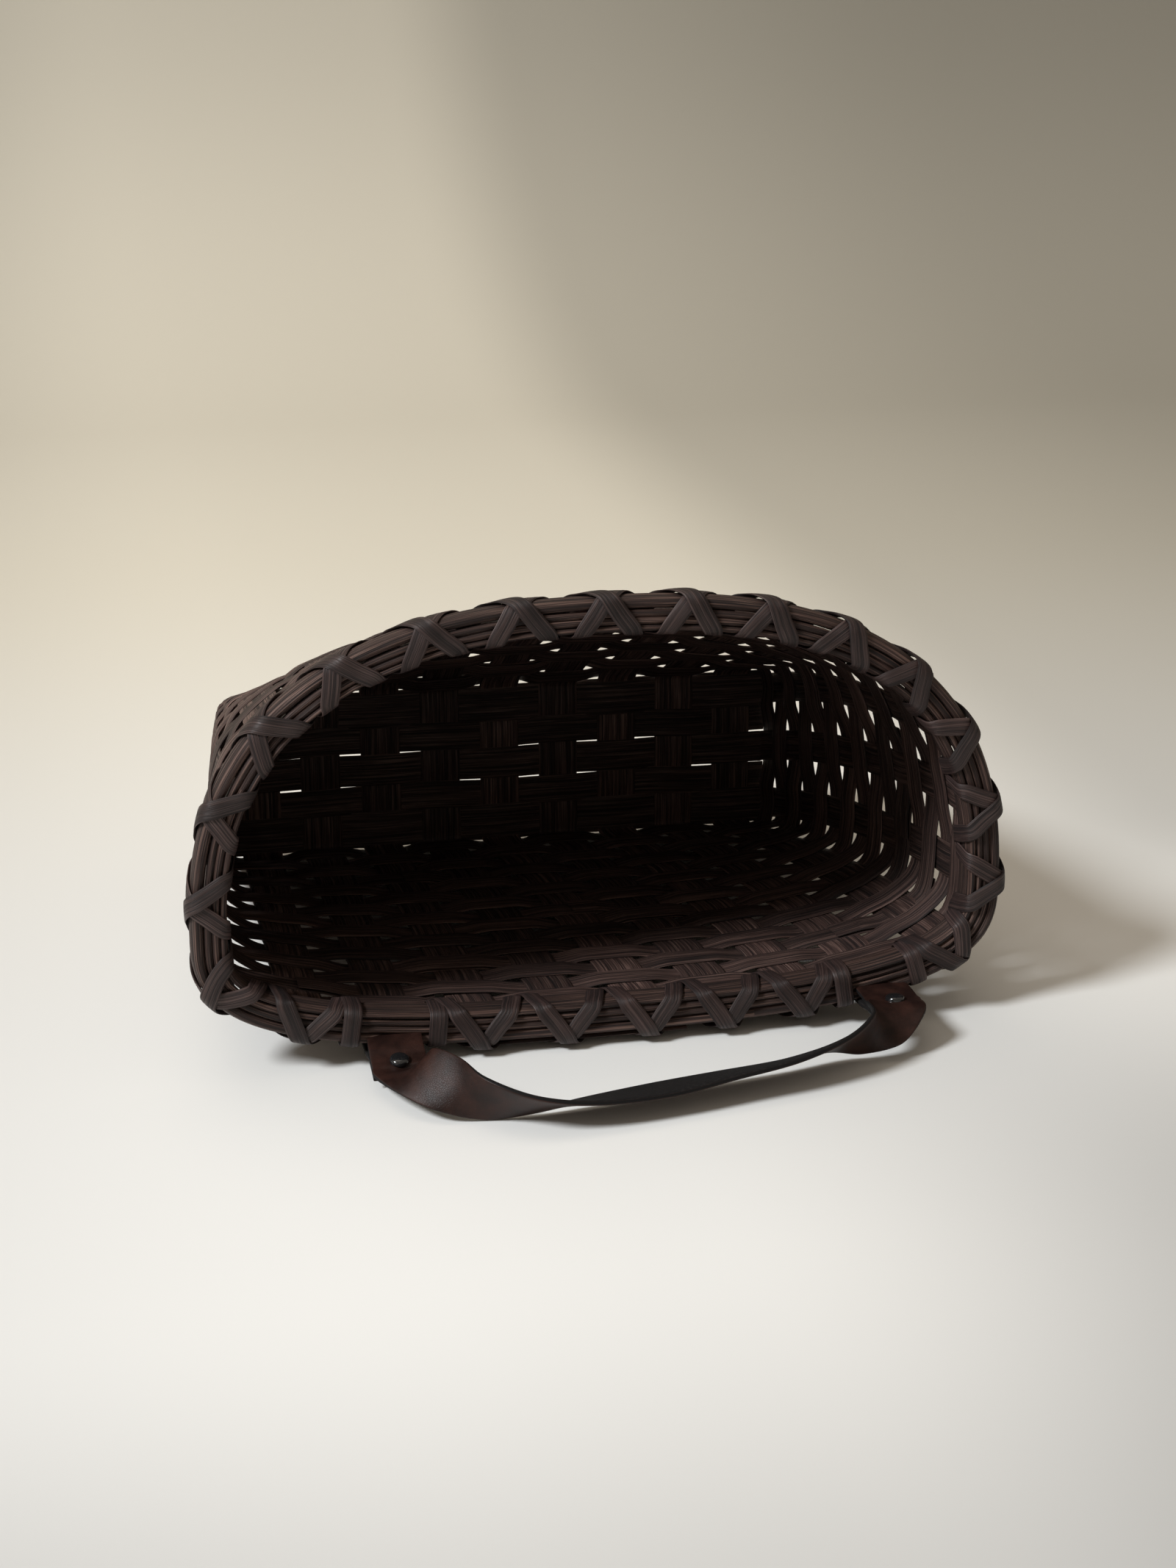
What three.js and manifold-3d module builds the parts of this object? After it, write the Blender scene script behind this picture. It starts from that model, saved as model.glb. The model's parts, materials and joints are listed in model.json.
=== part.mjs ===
// Woven wall basket for mail: flat reed on a D-shaped mouth, lashed rim and a riveted leather strap.
// Millimetres. The basket lies on its flat back: X along the back, Y from the mouth to the base, Z up.
import * as THREE from 'three';
import Module from 'manifold-3d';
import { mergeVertices } from 'three/addons/utils/BufferGeometryUtils.js';

// Mouth outline, measured in the middle of the wall
const mouthHalfWidth = 140;
const mouthHeight = 146;
const widestHeight = 38;
const archPower = 2.5;
const backPower = 2.87;

// Depth, from the front edge of the rim to the middle plane of the base, and how far the walls swell on the way
const depth = 215;
const swell = 0.8;
const swellSteps = 14;

// Stakes: the upright strips that cross in the base and turn up into the walls
const crossStakes = 9;
const sideStakes = 3;
const stakeWidth = 17;
const stakeThick = 1.5;
const sideWidth = 13.6;
const crossPitch = 26;
const sidePitch = 25.8;
const cornerReach = 6;
const cornerRise = 2.3;
const backOffset = 15;
const bendRadius = 1.5;
const twistStep = 1.6;

// Strips that fill the base between the lengthwise stakes
const baseFillerWidth = 11.4;
const baseFillerThick = 1.2;

// Weavers: one ring of flat reed for each row
const rowCount = 15;
const weaverWidth = 12.4;
const weaverThick = 1.2;
const rimRowWidth = 9.1;
const baseClearance = 6.5;

// Rim: an outer and an inner strip with two round reeds between their front edges
const rimWidth = 12.7;
const outerStripThick = 5;
const innerStripThick = 3;
const outerStripFlat = 5.7;
const stripEdge = 0.6;
const fillerDiameter = 2.2;
const fillerSides = 6;

// Lashing: two flat reeds wound round the rim in opposite directions
const lashWidth = 7;
const lashThick = 1;
const lashGap = 1.25;
const lashCrossGap = 0.5;
const lashInnerShare = 0.22;
const lashOuterShare = 0.55;
const lashEndShift = 0.3;
const lashEndReach = 4.5;

// Leather strap and its rivets
const strapWidth = 19.5;
const strapThick = 2;
const loopThick = 2;
const foldGap = 0.4;
const foldSteps = 5;
const tabTaper = 5;
const tailLength = 16;
const leftTabSlope = 12;
const rightTabSlope = -6;
const strapReach = 46;
const strapRise = 11.6;
const rivetReach = 10;
const rivetHeadDiameter = 7;
const rivetHeadHeight = 1.8;
const rivetFootHeight = 1.1;
const rivetShaftDiameter = 2.4;
const rivetHoleDiameter = 3;
const rivetSeat = 0.9;
const rivetSides = 14;
const leftTabStake = 21;
const rightTabStake = 3;

// Clearance between pieces that touch
const clearance = 0.3;

// Worked out from the sizes above; the basket leans so that its lashing and its last row lie level
const swing = stakeThick / 2 + clearance + weaverThick / 2;
const wallHalf = swing + weaverThick / 2;
const stripInner = wallHalf + clearance;
const outerFace = stripInner + outerStripThick;
const innerFace = stripInner + innerStripThick;
const lashStack = lashGap + 2 * lashThick + lashCrossGap;
const lashRear = rimWidth + lashStack;
const lashBelly = outerFace + lashStack;
const backHeight = lashBelly;
const lean = Math.atan2(lashBelly - wallHalf, depth - baseClearance - lashRear);
const baseHeight = (sideStakes - 1) * sidePitch + sideWidth + 2 * cornerRise;
const baseHalfWidth = ((crossStakes - 1) * crossPitch + stakeWidth) / 2 + cornerReach;
const stakeTop = fillerDiameter + 3 * clearance;
const rowStart = lashRear + clearance;
const rowPitch = (depth - baseClearance - rowStart - weaverWidth) / (rowCount - 1);

// Materials
const reed = new THREE.MeshStandardMaterial({ color: 0x3a2f29, roughness: 0.62, metalness: 0 });
const rimReed = new THREE.MeshStandardMaterial({ color: 0x43352d, roughness: 0.58, metalness: 0 });
const lashReed = new THREE.MeshStandardMaterial({ color: 0x3b302c, roughness: 0.5, metalness: 0 });
const leather = new THREE.MeshStandardMaterial({ color: 0x2e1d17, roughness: 0.45, metalness: 0 });
const rivetBlack = new THREE.MeshStandardMaterial({ color: 0x101012, roughness: 0.22, metalness: 0.6 });

const basket = new THREE.Group();
const body = new THREE.Group();
basket.add(body);

function addPiece(name, geometry, material) {
  const mesh = new THREE.Mesh(geometry, material);
  mesh.name = name;
  body.add(mesh);
  return mesh;
}

// A closed mesh through rings of points; a strip has end caps, a hoop joins its last ring to its first.
// Opposite sides are split along the same diagonal, so that twisted strips keep their thickness.
function skinSections(sections, closed) {
  const sides = sections[0].length;
  const positions = sections.flat().flatMap((p) => [p.x, p.y, p.z]);
  const index = [];
  const spans = closed ? sections.length : sections.length - 1;
  for (let i = 0; i < spans; i += 1) {
    const here = i * sides;
    const next = ((i + 1) % sections.length) * sides;
    for (let k = 0; k < sides; k += 1) {
      const l = (k + 1) % sides;
      if (2 * k < sides) index.push(here + k, next + k, next + l, here + k, next + l, here + l);
      else index.push(here + k, next + k, here + l, next + k, next + l, here + l);
    }
  }
  if (!closed) {
    const last = (sections.length - 1) * sides;
    for (let k = 0; k < sides / 2 - 1; k += 1) {
      const [a, b, c, d] = [k, k + 1, sides - 2 - k, sides - 1 - k];
      index.push(a, b, c, a, c, d);
      index.push(last + a, last + c, last + b, last + a, last + d, last + c);
    }
  }
  const geometry = new THREE.BufferGeometry();
  geometry.setAttribute('position', new THREE.Float32BufferAttribute(positions, 3));
  geometry.setIndex(volumeOf(positions, index) < 0 ? index.reverse() : index);
  geometry.computeVertexNormals();
  return geometry;
}

function volumeOf(positions, index) {
  const corner = (i) => new THREE.Vector3().fromArray(positions, 3 * index[i]);
  let sum = 0;
  for (let i = 0; i < index.length; i += 3) {
    sum += corner(i).dot(corner(i + 1).cross(corner(i + 2)));
  }
  return sum / 6;
}

// Mouth outline as two superellipse halves, tabulated by length from the middle of the back towards +X
const mouthTable = tabulateMouth();
const mouthLength = mouthTable.at(-1).length;

function mouthPoint(turn) {
  const side = Math.cos(turn);
  const rise = Math.sin(turn);
  const power = rise > 0 ? archPower : backPower;
  const reach = rise > 0 ? mouthHeight - widestHeight : widestHeight;
  const x = mouthHalfWidth * Math.sign(side) * Math.abs(side) ** (2 / power);
  const z = Math.sign(rise) * reach * Math.abs(rise) ** (2 / power);
  return new THREE.Vector2(x, backHeight + widestHeight + z);
}

function tabulateMouth() {
  const steps = 4000;
  const table = [{ point: mouthPoint(-Math.PI / 2), length: 0 }];
  for (let i = 1; i <= steps; i += 1) {
    const point = mouthPoint(-Math.PI / 2 + (2 * Math.PI * i) / steps);
    const last = table.at(-1);
    table.push({ point, length: last.length + point.distanceTo(last.point) });
  }
  return table;
}

function mouthAt(length) {
  const wanted = THREE.MathUtils.euclideanModulo(length, mouthLength);
  let low = 0;
  let high = mouthTable.length - 1;
  while (high - low > 1) {
    const middle = (low + high) >> 1;
    if (mouthTable[middle].length <= wanted) low = middle;
    else high = middle;
  }
  const from = mouthTable[low];
  const to = mouthTable[high];
  const share = (wanted - from.length) / (to.length - from.length);
  return from.point.clone().lerp(to.point, share);
}

// Stakes in order round the basket: back from its middle to +X, right side, front, left side, back again
const stakes = listStakes();
const stakeCount = stakes.length;

function listStakes() {
  const half = (crossStakes - 1) / 2;
  const order = [];
  for (let i = half; i < crossStakes; i += 1) order.push({ wall: 'back', i });
  for (let k = 0; k < sideStakes; k += 1) order.push({ wall: 'right', i: k });
  for (let i = crossStakes - 1; i >= 0; i -= 1) order.push({ wall: 'front', i });
  for (let k = sideStakes - 1; k >= 0; k -= 1) order.push({ wall: 'left', i: k });
  for (let i = 0; i < half; i += 1) order.push({ wall: 'back', i });
  const front = half + 1 + sideStakes + half;
  const rightPitch = (mouthLength / 2 - backOffset) / front;
  const leftPitch = (mouthLength / 2 - backOffset) / (order.length - 1 - front);
  order.forEach((stake, j) => {
    const right = j <= front;
    stake.rim = right ? backOffset + j * rightPitch : mouthLength / 2 + (j - front) * leftPitch;
    stake.base = baseMiddle(stake.wall, stake.i);
  });
  return order;
}

function crossX(i) {
  return (i - (crossStakes - 1) / 2) * crossPitch;
}

function sideZ(k) {
  return backHeight + baseHeight / 2 + (k - (sideStakes - 1) / 2) * sidePitch;
}

function baseMiddle(wall, i) {
  if (wall === 'back') return new THREE.Vector2(crossX(i), backHeight);
  if (wall === 'front') return new THREE.Vector2(crossX(i), backHeight + baseHeight);
  const side = wall === 'right' ? 1 : -1;
  return new THREE.Vector2(side * baseHalfWidth, sideZ(i));
}

const wallRun = {
  back: new THREE.Vector2(1, 0),
  right: new THREE.Vector2(0, 1),
  front: new THREE.Vector2(-1, 0),
  left: new THREE.Vector2(0, -1),
};

// Guide lines run from the base to the mouth: two edges of each stake and the middle of each gap
const guides = listGuides();

function listGuides() {
  const list = [];
  stakes.forEach((stake, j) => {
    const next = stakes[(j + 1) % stakeCount];
    const run = wallRun[stake.wall];
    const half = (run.x === 0 ? sideWidth : stakeWidth) / 2;
    const nextRim = next.rim > stake.rim ? next.rim : next.rim + mouthLength;
    list.push(guideLine(stake.rim - half, stake.base.clone().addScaledVector(run, -half)));
    list.push(guideLine(stake.rim + half, stake.base.clone().addScaledVector(run, half)));
    list.push(guideLine((stake.rim + nextRim) / 2, gapBase(stake, next)));
  });
  return list;
}

function guideLine(rim, base) {
  return { rim, base, mouth: mouthAt(rim) };
}

function gapBase(stake, next) {
  const middle = stake.base.clone().add(next.base).multiplyScalar(0.5);
  if (stake.wall === next.wall) return middle;
  const corner = new THREE.Vector2(
    Math.sign(middle.x) * baseHalfWidth,
    middle.y < backHeight + baseHeight / 2 ? backHeight : backHeight + baseHeight,
  );
  const inset = new THREE.Vector2(-Math.sign(middle.x) * cornerReach, 0).multiplyScalar(0.25);
  const rise = corner.y > backHeight ? -cornerRise / 4 : cornerRise / 4;
  return corner.add(inset).add(new THREE.Vector2(0, rise));
}

// How far the wall has narrowed from the mouth to the base at one depth; it swells outwards on the way
function narrowing(y) {
  const way = y / depth;
  return way - swell * way * (1 - way);
}

// Outline of the wall at one depth, with the mitre along which each corner is offset
const outlineCache = new Map();

function outlineAt(y) {
  if (!outlineCache.has(y)) {
    const points = guides.map((guide) => guide.mouth.clone().lerp(guide.base, narrowing(y)));
    const mitres = points.map((point, g) => mitreOf(
      points.at(g - 1),
      point,
      points[(g + 1) % points.length],
    ));
    outlineCache.set(y, { points, mitres });
  }
  return outlineCache.get(y);
}

function mitreOf(before, here, after) {
  const first = here.clone().sub(before).normalize();
  const second = after.clone().sub(here).normalize();
  const normalA = new THREE.Vector2(first.y, -first.x);
  const normalB = new THREE.Vector2(second.y, -second.x);
  return normalA.clone().add(normalB).divideScalar(1 + normalA.dot(normalB));
}

function wallPoint(g, y, out) {
  const { points, mitres } = outlineAt(y);
  const n = THREE.MathUtils.euclideanModulo(g, guides.length);
  const flat = points[n].clone().addScaledVector(mitres[n], out);
  return new THREE.Vector3(flat.x, y, flat.y);
}

// A point between two guide lines, given as a share of the way from guide g to the next
function wallBetween(g, share, y, out) {
  return wallPoint(g, y, out).lerp(wallPoint(g + 1, y, out), share);
}

// A point of the rim by its length round the mouth
function rimPoint(length, y, out) {
  let turned = length;
  while (turned < guides[0].rim) turned += mouthLength;
  while (turned >= guides[0].rim + mouthLength) turned -= mouthLength;
  let g = guides.length - 1;
  while (guideRim(g) > turned) g -= 1;
  const share = (turned - guideRim(g)) / (guideRim(g + 1) - guideRim(g));
  return wallBetween(g, share, y, out);
}

function guideRim(g) {
  const turns = Math.floor(g / guides.length);
  const rim = guides[g % guides.length].rim;
  return (rim < guides[0].rim ? rim + mouthLength : rim) + turns * mouthLength;
}

// One woven ring: outside one stake, inside the next, with a bend in the gaps at the corners
const weaverGuides = guides.map((guide, g) => g).filter((g) => g % 3 < 2 || turnsCorner(Math.floor(g / 3)));

function turnsCorner(j) {
  return stakes[j].wall !== stakes[(j + 1) % stakeCount].wall;
}

function weaverRing(start, width, parity) {
  const sections = weaverGuides.map((g) => {
    const stake = Math.floor(g / 3);
    const side = (stake + parity) % 2 === 0 ? 1 : -1;
    const out = g % 3 === 2 ? 0 : side * swing;
    const half = weaverThick / 2;
    return [
      wallPoint(g, start, out - half),
      wallPoint(g, start + width, out - half),
      wallPoint(g, start + width, out + half),
      wallPoint(g, start, out + half),
    ];
  });
  return skinSections(sections, true);
}

addPiece('rim_row_weaver', weaverRing(stakeTop + clearance, rimRowWidth, 1), reed);
for (let row = 0; row < rowCount; row += 1) {
  const label = String(row + 1).padStart(2, '0');
  addPiece(`weaver_row_${label}`, weaverRing(rowStart + row * rowPitch, weaverWidth, row), reed);
}

// Stake strips: up one wall, across the base, up the opposite wall
function wallSections(j, thick, fromY, toY) {
  const sections = [];
  const steps = Math.max(swellSteps, Math.ceil(wallTwist(j) / twistStep));
  for (let i = 0; i <= steps; i += 1) {
    const y = fromY + ((toY - fromY) * i) / steps;
    sections.push([
      wallPoint(3 * j, y, -thick / 2),
      wallPoint(3 * j + 1, y, -thick / 2),
      wallPoint(3 * j + 1, y, thick / 2),
      wallPoint(3 * j, y, thick / 2),
    ]);
  }
  return sections;
}

// How far a stake turns, in degrees, on its way from the base to the mouth
function wallTwist(j) {
  const left = guides[3 * j];
  const right = guides[3 * j + 1];
  const turn = right.mouth.clone().sub(left.mouth).angle() - right.base.clone().sub(left.base).angle();
  return Math.abs(THREE.MathUtils.radToDeg(Math.atan2(Math.sin(turn), Math.cos(turn))));
}

// The same section with its two edges exchanged, for the wall that the strip comes back up
function turnedOver(section) {
  return [section[1], section[0], section[3], section[2]];
}

const stakeIndex = (wall, i) => stakes.findIndex((stake) => stake.wall === wall && stake.i === i);

// A cut across a base strip: its middle, its run along the base and its offset out of the base
function baseSection(along, across, run, width, thick, out) {
  const half = width / 2;
  const point = (edge, face) => {
    const place = new THREE.Vector3(0, depth + out + (face * thick) / 2, 0);
    if (run === 'x') return place.setX(along).setZ(across + edge * half);
    return place.setZ(along).setX(across + edge * half);
  };
  return { inner: [point(-1, -1), point(1, -1)], outer: [point(1, 1), point(-1, 1)] };
}

function crossStake(i) {
  const back = stakeIndex('back', i);
  const front = stakeIndex('front', i);
  const bottom = backHeight + bendRadius;
  const top = backHeight + baseHeight - bendRadius;
  const up = wallSections(back, stakeThick, stakeTop, depth - bendRadius);
  const down = wallSections(front, stakeThick, depth - bendRadius, stakeTop).map(turnedOver);
  const across = [bottom, top].map((z) => {
    const cut = baseSection(z, crossX(i), 'z', stakeWidth, stakeThick, 0);
    return [...cut.inner, ...cut.outer];
  });
  return skinSections([...up, ...across, ...down], false);
}

function sideStake(k) {
  const left = stakeIndex('left', k);
  const right = stakeIndex('right', k);
  const up = wallSections(left, stakeThick, stakeTop, depth - bendRadius).map(turnedOver);
  const down = wallSections(right, stakeThick, depth - bendRadius, stakeTop);
  const across = baseRun(sideZ(k), sideWidth, stakeThick, 1, baseHalfWidth - bendRadius);
  return skinSections([...up, ...across, ...down], false);
}

// A strip along the base, outside one cross stake and inside the next
function baseRun(z, width, thick, parity, reach) {
  const lift = stakeThick / 2 + clearance + thick / 2;
  const sections = [];
  const add = (x, out) => {
    const cut = baseSection(x, z, 'x', width, thick, out);
    sections.push([...cut.inner, ...cut.outer]);
  };
  if (reach) add(-reach, 0);
  for (let i = 0; i < crossStakes; i += 1) {
    const side = (i + parity) % 2 === 0 ? 1 : -1;
    add(crossX(i) - stakeWidth / 2 - clearance, side * lift);
    add(crossX(i) + stakeWidth / 2 + clearance, side * lift);
  }
  if (reach) add(reach, 0);
  return sections;
}

for (let i = 0; i < crossStakes; i += 1) addPiece(`cross_stake_${i + 1}`, crossStake(i), reed);
for (let k = 0; k < sideStakes; k += 1) addPiece(`side_stake_${k + 1}`, sideStake(k), reed);
for (let k = 0; k < sideStakes - 1; k += 1) {
  const z = (sideZ(k) + sideZ(k + 1)) / 2;
  const strip = skinSections(baseRun(z, baseFillerWidth, baseFillerThick, 0, 0), false);
  addPiece(`base_filler_${k + 1}`, strip, reed);
}

// Rim strips follow the wall's corners; the outer one is shaved on its inside where the strap passes
const tabStakes = [leftTabStake, rightTabStake];
const shaveDepth = loopThick + clearance;
const shaveHalf = strapWidth / 2 + 2 * clearance;
const shaveTaper = 2;

function rimStations() {
  const stations = guides.map((guide, g) => guideRim(g));
  tabStakes.forEach((j) => {
    const middle = stakeRim(j);
    [-1, 1].forEach((side) => {
      stations.push(middle + side * shaveHalf, middle + side * (shaveHalf + shaveTaper));
    });
  });
  return stations.sort((a, b) => a - b);
}

function stakeRim(j) {
  return (guideRim(3 * j) + guideRim(3 * j + 1)) / 2;
}

function shaveAt(length) {
  const away = tabStakes.map((j) => Math.abs(length - stakeRim(j)));
  const past = (Math.min(...away) - shaveHalf) / shaveTaper;
  return shaveDepth * (1 - THREE.MathUtils.clamp(past, 0, 1));
}

function outerStripSection(length) {
  const inside = stripInner + shaveAt(length);
  const shoulder = (rimWidth - outerStripFlat) / 2;
  const belly = (inside + outerFace) / 2;
  return [
    rimPoint(length, 0, inside),
    rimPoint(length, rimWidth, inside),
    rimPoint(length, rimWidth - stripEdge, belly),
    rimPoint(length, rimWidth - shoulder, outerFace),
    rimPoint(length, shoulder, outerFace),
    rimPoint(length, stripEdge, belly),
  ];
}

function innerStripSection(length) {
  const belly = (stripInner + innerFace) / 2;
  return [
    rimPoint(length, 0, -stripInner),
    rimPoint(length, rimWidth, -stripInner),
    rimPoint(length, rimWidth - stripEdge, -belly),
    rimPoint(length, rimWidth - 3 * stripEdge, -innerFace),
    rimPoint(length, 3 * stripEdge, -innerFace),
    rimPoint(length, stripEdge, -belly),
  ];
}

function rimFillerSection(length, out) {
  const ring = [];
  for (let k = 0; k < fillerSides; k += 1) {
    const turn = (2 * Math.PI * k) / fillerSides;
    const y = clearance + (fillerDiameter / 2) * (1 + Math.sin(turn));
    ring.push(rimPoint(length, y, out + (fillerDiameter / 2) * Math.cos(turn)));
  }
  return ring;
}

const evenStations = guides.map((guide, g) => guideRim(g));
const fillerOut = (fillerDiameter + clearance) / 2;
addPiece('outer_rim_strip', skinSections(rimStations().map(outerStripSection), true), rimReed);
addPiece('inner_rim_strip', skinSections(evenStations.map(innerStripSection), true), rimReed);
addPiece('rim_filler_outer', skinSections(evenStations.map((s) => rimFillerSection(s, fillerOut)), true), rimReed);
addPiece('rim_filler_inner', skinSections(evenStations.map((s) => rimFillerSection(s, -fillerOut)), true), rimReed);

// Lashing: each turn comes through a gap, over the front of the rim and back through the next gap
const gapRim = (j) => guideRim(3 * j + 2);

function lashSection(length, out, y, yWay, gap) {
  const corner = (edge, level) => rimPoint(
    length + (edge * lashWidth) / 2,
    y + yWay * level,
    out + Math.sign(out) * level,
  );
  const under = [-1, 0, 1].map((edge) => corner(edge, gap));
  const over = [1, 0, -1].map((edge) => corner(edge, gap + lashThick));
  return [...under, ...over];
}

// One turn from gap j to the next gap, or from that gap back to j when it winds the other way
function lashTurn(j, step, gap) {
  const ends = step > 0 ? [gapRim(j), gapRim(j + 1)] : [gapRim(j + 1), gapRim(j)];
  const place = (share) => THREE.MathUtils.lerp(...ends, share);
  return [
    ...lashFront(place(0), place(lashInnerShare), place(lashOuterShare), gap),
    lashSection(place((1 + lashOuterShare) / 2), outerFace, rimWidth / 2, 0, gap),
    lashSection(place(1), outerFace, rimWidth, 1, gap),
  ];
}

function lashFront(rear, inner, outer, gap) {
  return [
    lashSection(rear, -innerFace, rimWidth, 1, gap),
    lashSection(inner, -innerFace, 0, -1, gap),
    lashSection(outer, outerFace, 0, -1, gap),
  ];
}

// A run winds from gap first to gap last; its end goes straight over the rim beside the strap
function lashRun(first, last, step, gap) {
  const sections = [];
  for (let n = 0; n < last - first; n += 1) {
    const j = step > 0 ? first + n : last - 1 - n;
    sections.push(...lashTurn(j, step, gap));
  }
  const end = gapRim(step > 0 ? last : first) + step * lashEndShift;
  sections.push(...lashFront(end, end, end, gap));
  sections.push(lashSection(end, outerFace, lashEndReach, 0, gap));
  return skinSections(sections, false);
}

const gapOver = lashGap + lashThick + lashCrossGap;
const backFirst = leftTabStake;
const backLast = stakeCount + rightTabStake - 1;
const frontFirst = rightTabStake;
const frontLast = leftTabStake - 1;
addPiece('lashing_front_under', lashRun(frontFirst, frontLast, 1, lashGap), lashReed);
addPiece('lashing_front_over', lashRun(frontFirst, frontLast, -1, gapOver), lashReed);
addPiece('lashing_back_under', lashRun(backFirst, backLast, 1, lashGap), lashReed);
addPiece('lashing_back_over', lashRun(backFirst, backLast, -1, gapOver), lashReed);

// Strap loops: the leather goes round the outer rim strip alone, between it and the wall
const loopInner = stripInner + loopThick / 2;
const loopOuter = outerFace + clearance + loopThick / 2;
const loopRear = rimWidth + clearance + loopThick / 2;

function loopSection(middle, out, y, outShift, yShift) {
  const corner = (edge, face) => rimPoint(
    middle + (edge * strapWidth) / 2,
    y + (face * yShift * loopThick) / 2,
    out + (face * outShift * loopThick) / 2,
  );
  return [corner(-1, -1), corner(1, -1), corner(1, 1), corner(-1, 1)];
}

function strapLoop(j) {
  const middle = stakeRim(j);
  const sections = [
    loopSection(middle, loopInner, 0, -1, 0),
    loopSection(middle, loopInner, loopRear, -1, 1),
    loopSection(middle, loopOuter, loopRear, 1, 1),
    loopSection(middle, loopOuter, 0, 1, 0),
  ];
  return skinSections(sections, false);
}

addPiece('strap_loop_left', strapLoop(leftTabStake), leather);
addPiece('strap_loop_right', strapLoop(rightTabStake), leather);

// The strap hinges at its two folds, in front of the rim and level with the outer strip
const foldRadius = (loopOuter - loopInner + loopThick) / 2;
const foldY = -foldGap - foldRadius;
const doubleThick = 2 * strapThick + clearance;
const leftTab = strapTab(leftTabStake, leftTabSlope);
const rightTab = strapTab(rightTabStake, rightTabSlope);
const hingeLine = rightTab.fold.clone().sub(leftTab.fold).normalize();

// The surface that the basket lies on, seen from the leaning basket
function lieHeight(y) {
  return (y - lashRear) * Math.tan(lean);
}

// A doubled tab runs straight out of its fold, sloping down to the front
function strapTab(j, slope) {
  const rim = rimPoint(stakeRim(j), 0, (loopInner + loopOuter) / 2);
  const turn = THREE.MathUtils.degToRad(slope) + lean;
  return {
    fold: new THREE.Vector3(rim.x, foldY, rim.z),
    run: new THREE.Vector3(0, -Math.cos(turn), -Math.sin(turn)),
    up: new THREE.Vector3(0, -Math.sin(turn), Math.cos(turn)),
  };
}

// Route of the single strap between the tabs: share of the way across, share of its reach in front of the
// fold, share of its rise above the surface that it lies on, and the way its inner edge points
const strapRoute = [
  { across: 0.02, reach: 0.63, rise: 1.10, edge: [0.6, 0.5, 0.6] },
  { across: 0.07, reach: 0.85, rise: 1.05, edge: [0.5, 0.3, 0.8] },
  { across: 0.13, reach: 1.03, rise: 0.85, edge: [0, -0.4, 0.9] },
  { across: 0.22, reach: 1.13, rise: 0.70, edge: [0, -0.8, 0.6] },
  { across: 0.33, reach: 1.12, rise: 0.64, edge: [0.1, -0.9, 0.3] },
  { across: 0.47, reach: 1.04, rise: 0.64, edge: [0.15, -0.95, 0.2] },
  { across: 0.60, reach: 0.94, rise: 0.71, edge: [0.15, -0.95, 0.3] },
  { across: 0.73, reach: 0.85, rise: 0.80, edge: [0.15, -0.9, 0.4] },
  { across: 0.84, reach: 0.73, rise: 0.99, edge: [0.1, -0.8, 0.55] },
  { across: 0.91, reach: 0.62, rise: 1.06, edge: [-0.3, -0.5, 0.75] },
  { across: 0.955, reach: 0.50, rise: 1.14, edge: [-0.75, 0, 0.4] },
];
const strapSteps = 44;

function strapSections() {
  const starts = [leftTab, rightTab].map((tab) => tab.fold.clone()
    .addScaledVector(tab.run, tailLength + strapThick)
    .addScaledVector(tab.up, (doubleThick - strapThick) / 2));
  const places = strapRoute.map((key) => {
    const x = THREE.MathUtils.lerp(leftTab.fold.x, rightTab.fold.x, key.across);
    const y = foldY - key.reach * strapReach;
    return new THREE.Vector3(x, y, lieHeight(y) + key.rise * strapRise);
  });
  const edges = strapRoute.map((key) => new THREE.Vector3(...key.edge).normalize());
  const line = new THREE.CatmullRomCurve3([starts[0], ...places, starts[1]], false, 'centripetal');
  const ends = [hingeLine.clone(), hingeLine.clone().negate()];
  const turn = new THREE.CatmullRomCurve3([ends[0], ...edges, ends[1]], false, 'centripetal');
  const free = [];
  for (let i = 0; i <= strapSteps; i += 1) {
    const t = i / strapSteps;
    free.push(strapCut(line.getPoint(t), turn.getPoint(t), line.getTangent(t), strapThick));
  }
  return [...tabSections(leftTab, 1), ...free, ...tabSections(rightTab, -1).reverse()];
}

function strapCut(place, edgeWay, run, thick) {
  const edge = edgeWay.clone().addScaledVector(run, -edgeWay.dot(run)).normalize();
  const face = new THREE.Vector3().crossVectors(edge, run).normalize();
  const corner = (e, f) => place.clone()
    .addScaledVector(edge, (e * strapWidth) / 2)
    .addScaledVector(face, (f * thick) / 2);
  return [corner(-1, -1), corner(1, -1), corner(1, 1), corner(-1, 1)];
}

// The round fold beside the rim and the doubled tab in front of it, from the rim outwards
function tabSections(tab, way) {
  const edge = hingeLine.clone().multiplyScalar(way);
  const run = tab.run.clone().multiplyScalar(way);
  const cut = (reach, thick) => strapCut(tab.fold.clone().addScaledVector(tab.run, reach), edge, run, thick);
  const sections = [];
  for (let i = 0; i <= foldSteps; i += 1) {
    const turn = (Math.PI / 2) * ((i + 0.5) / (foldSteps + 0.5));
    sections.push(cut(-foldRadius * Math.cos(turn), 2 * foldRadius * Math.sin(turn)));
  }
  sections.push(cut(tabTaper, doubleThick), cut(tailLength, doubleThick));
  return sections;
}

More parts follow.
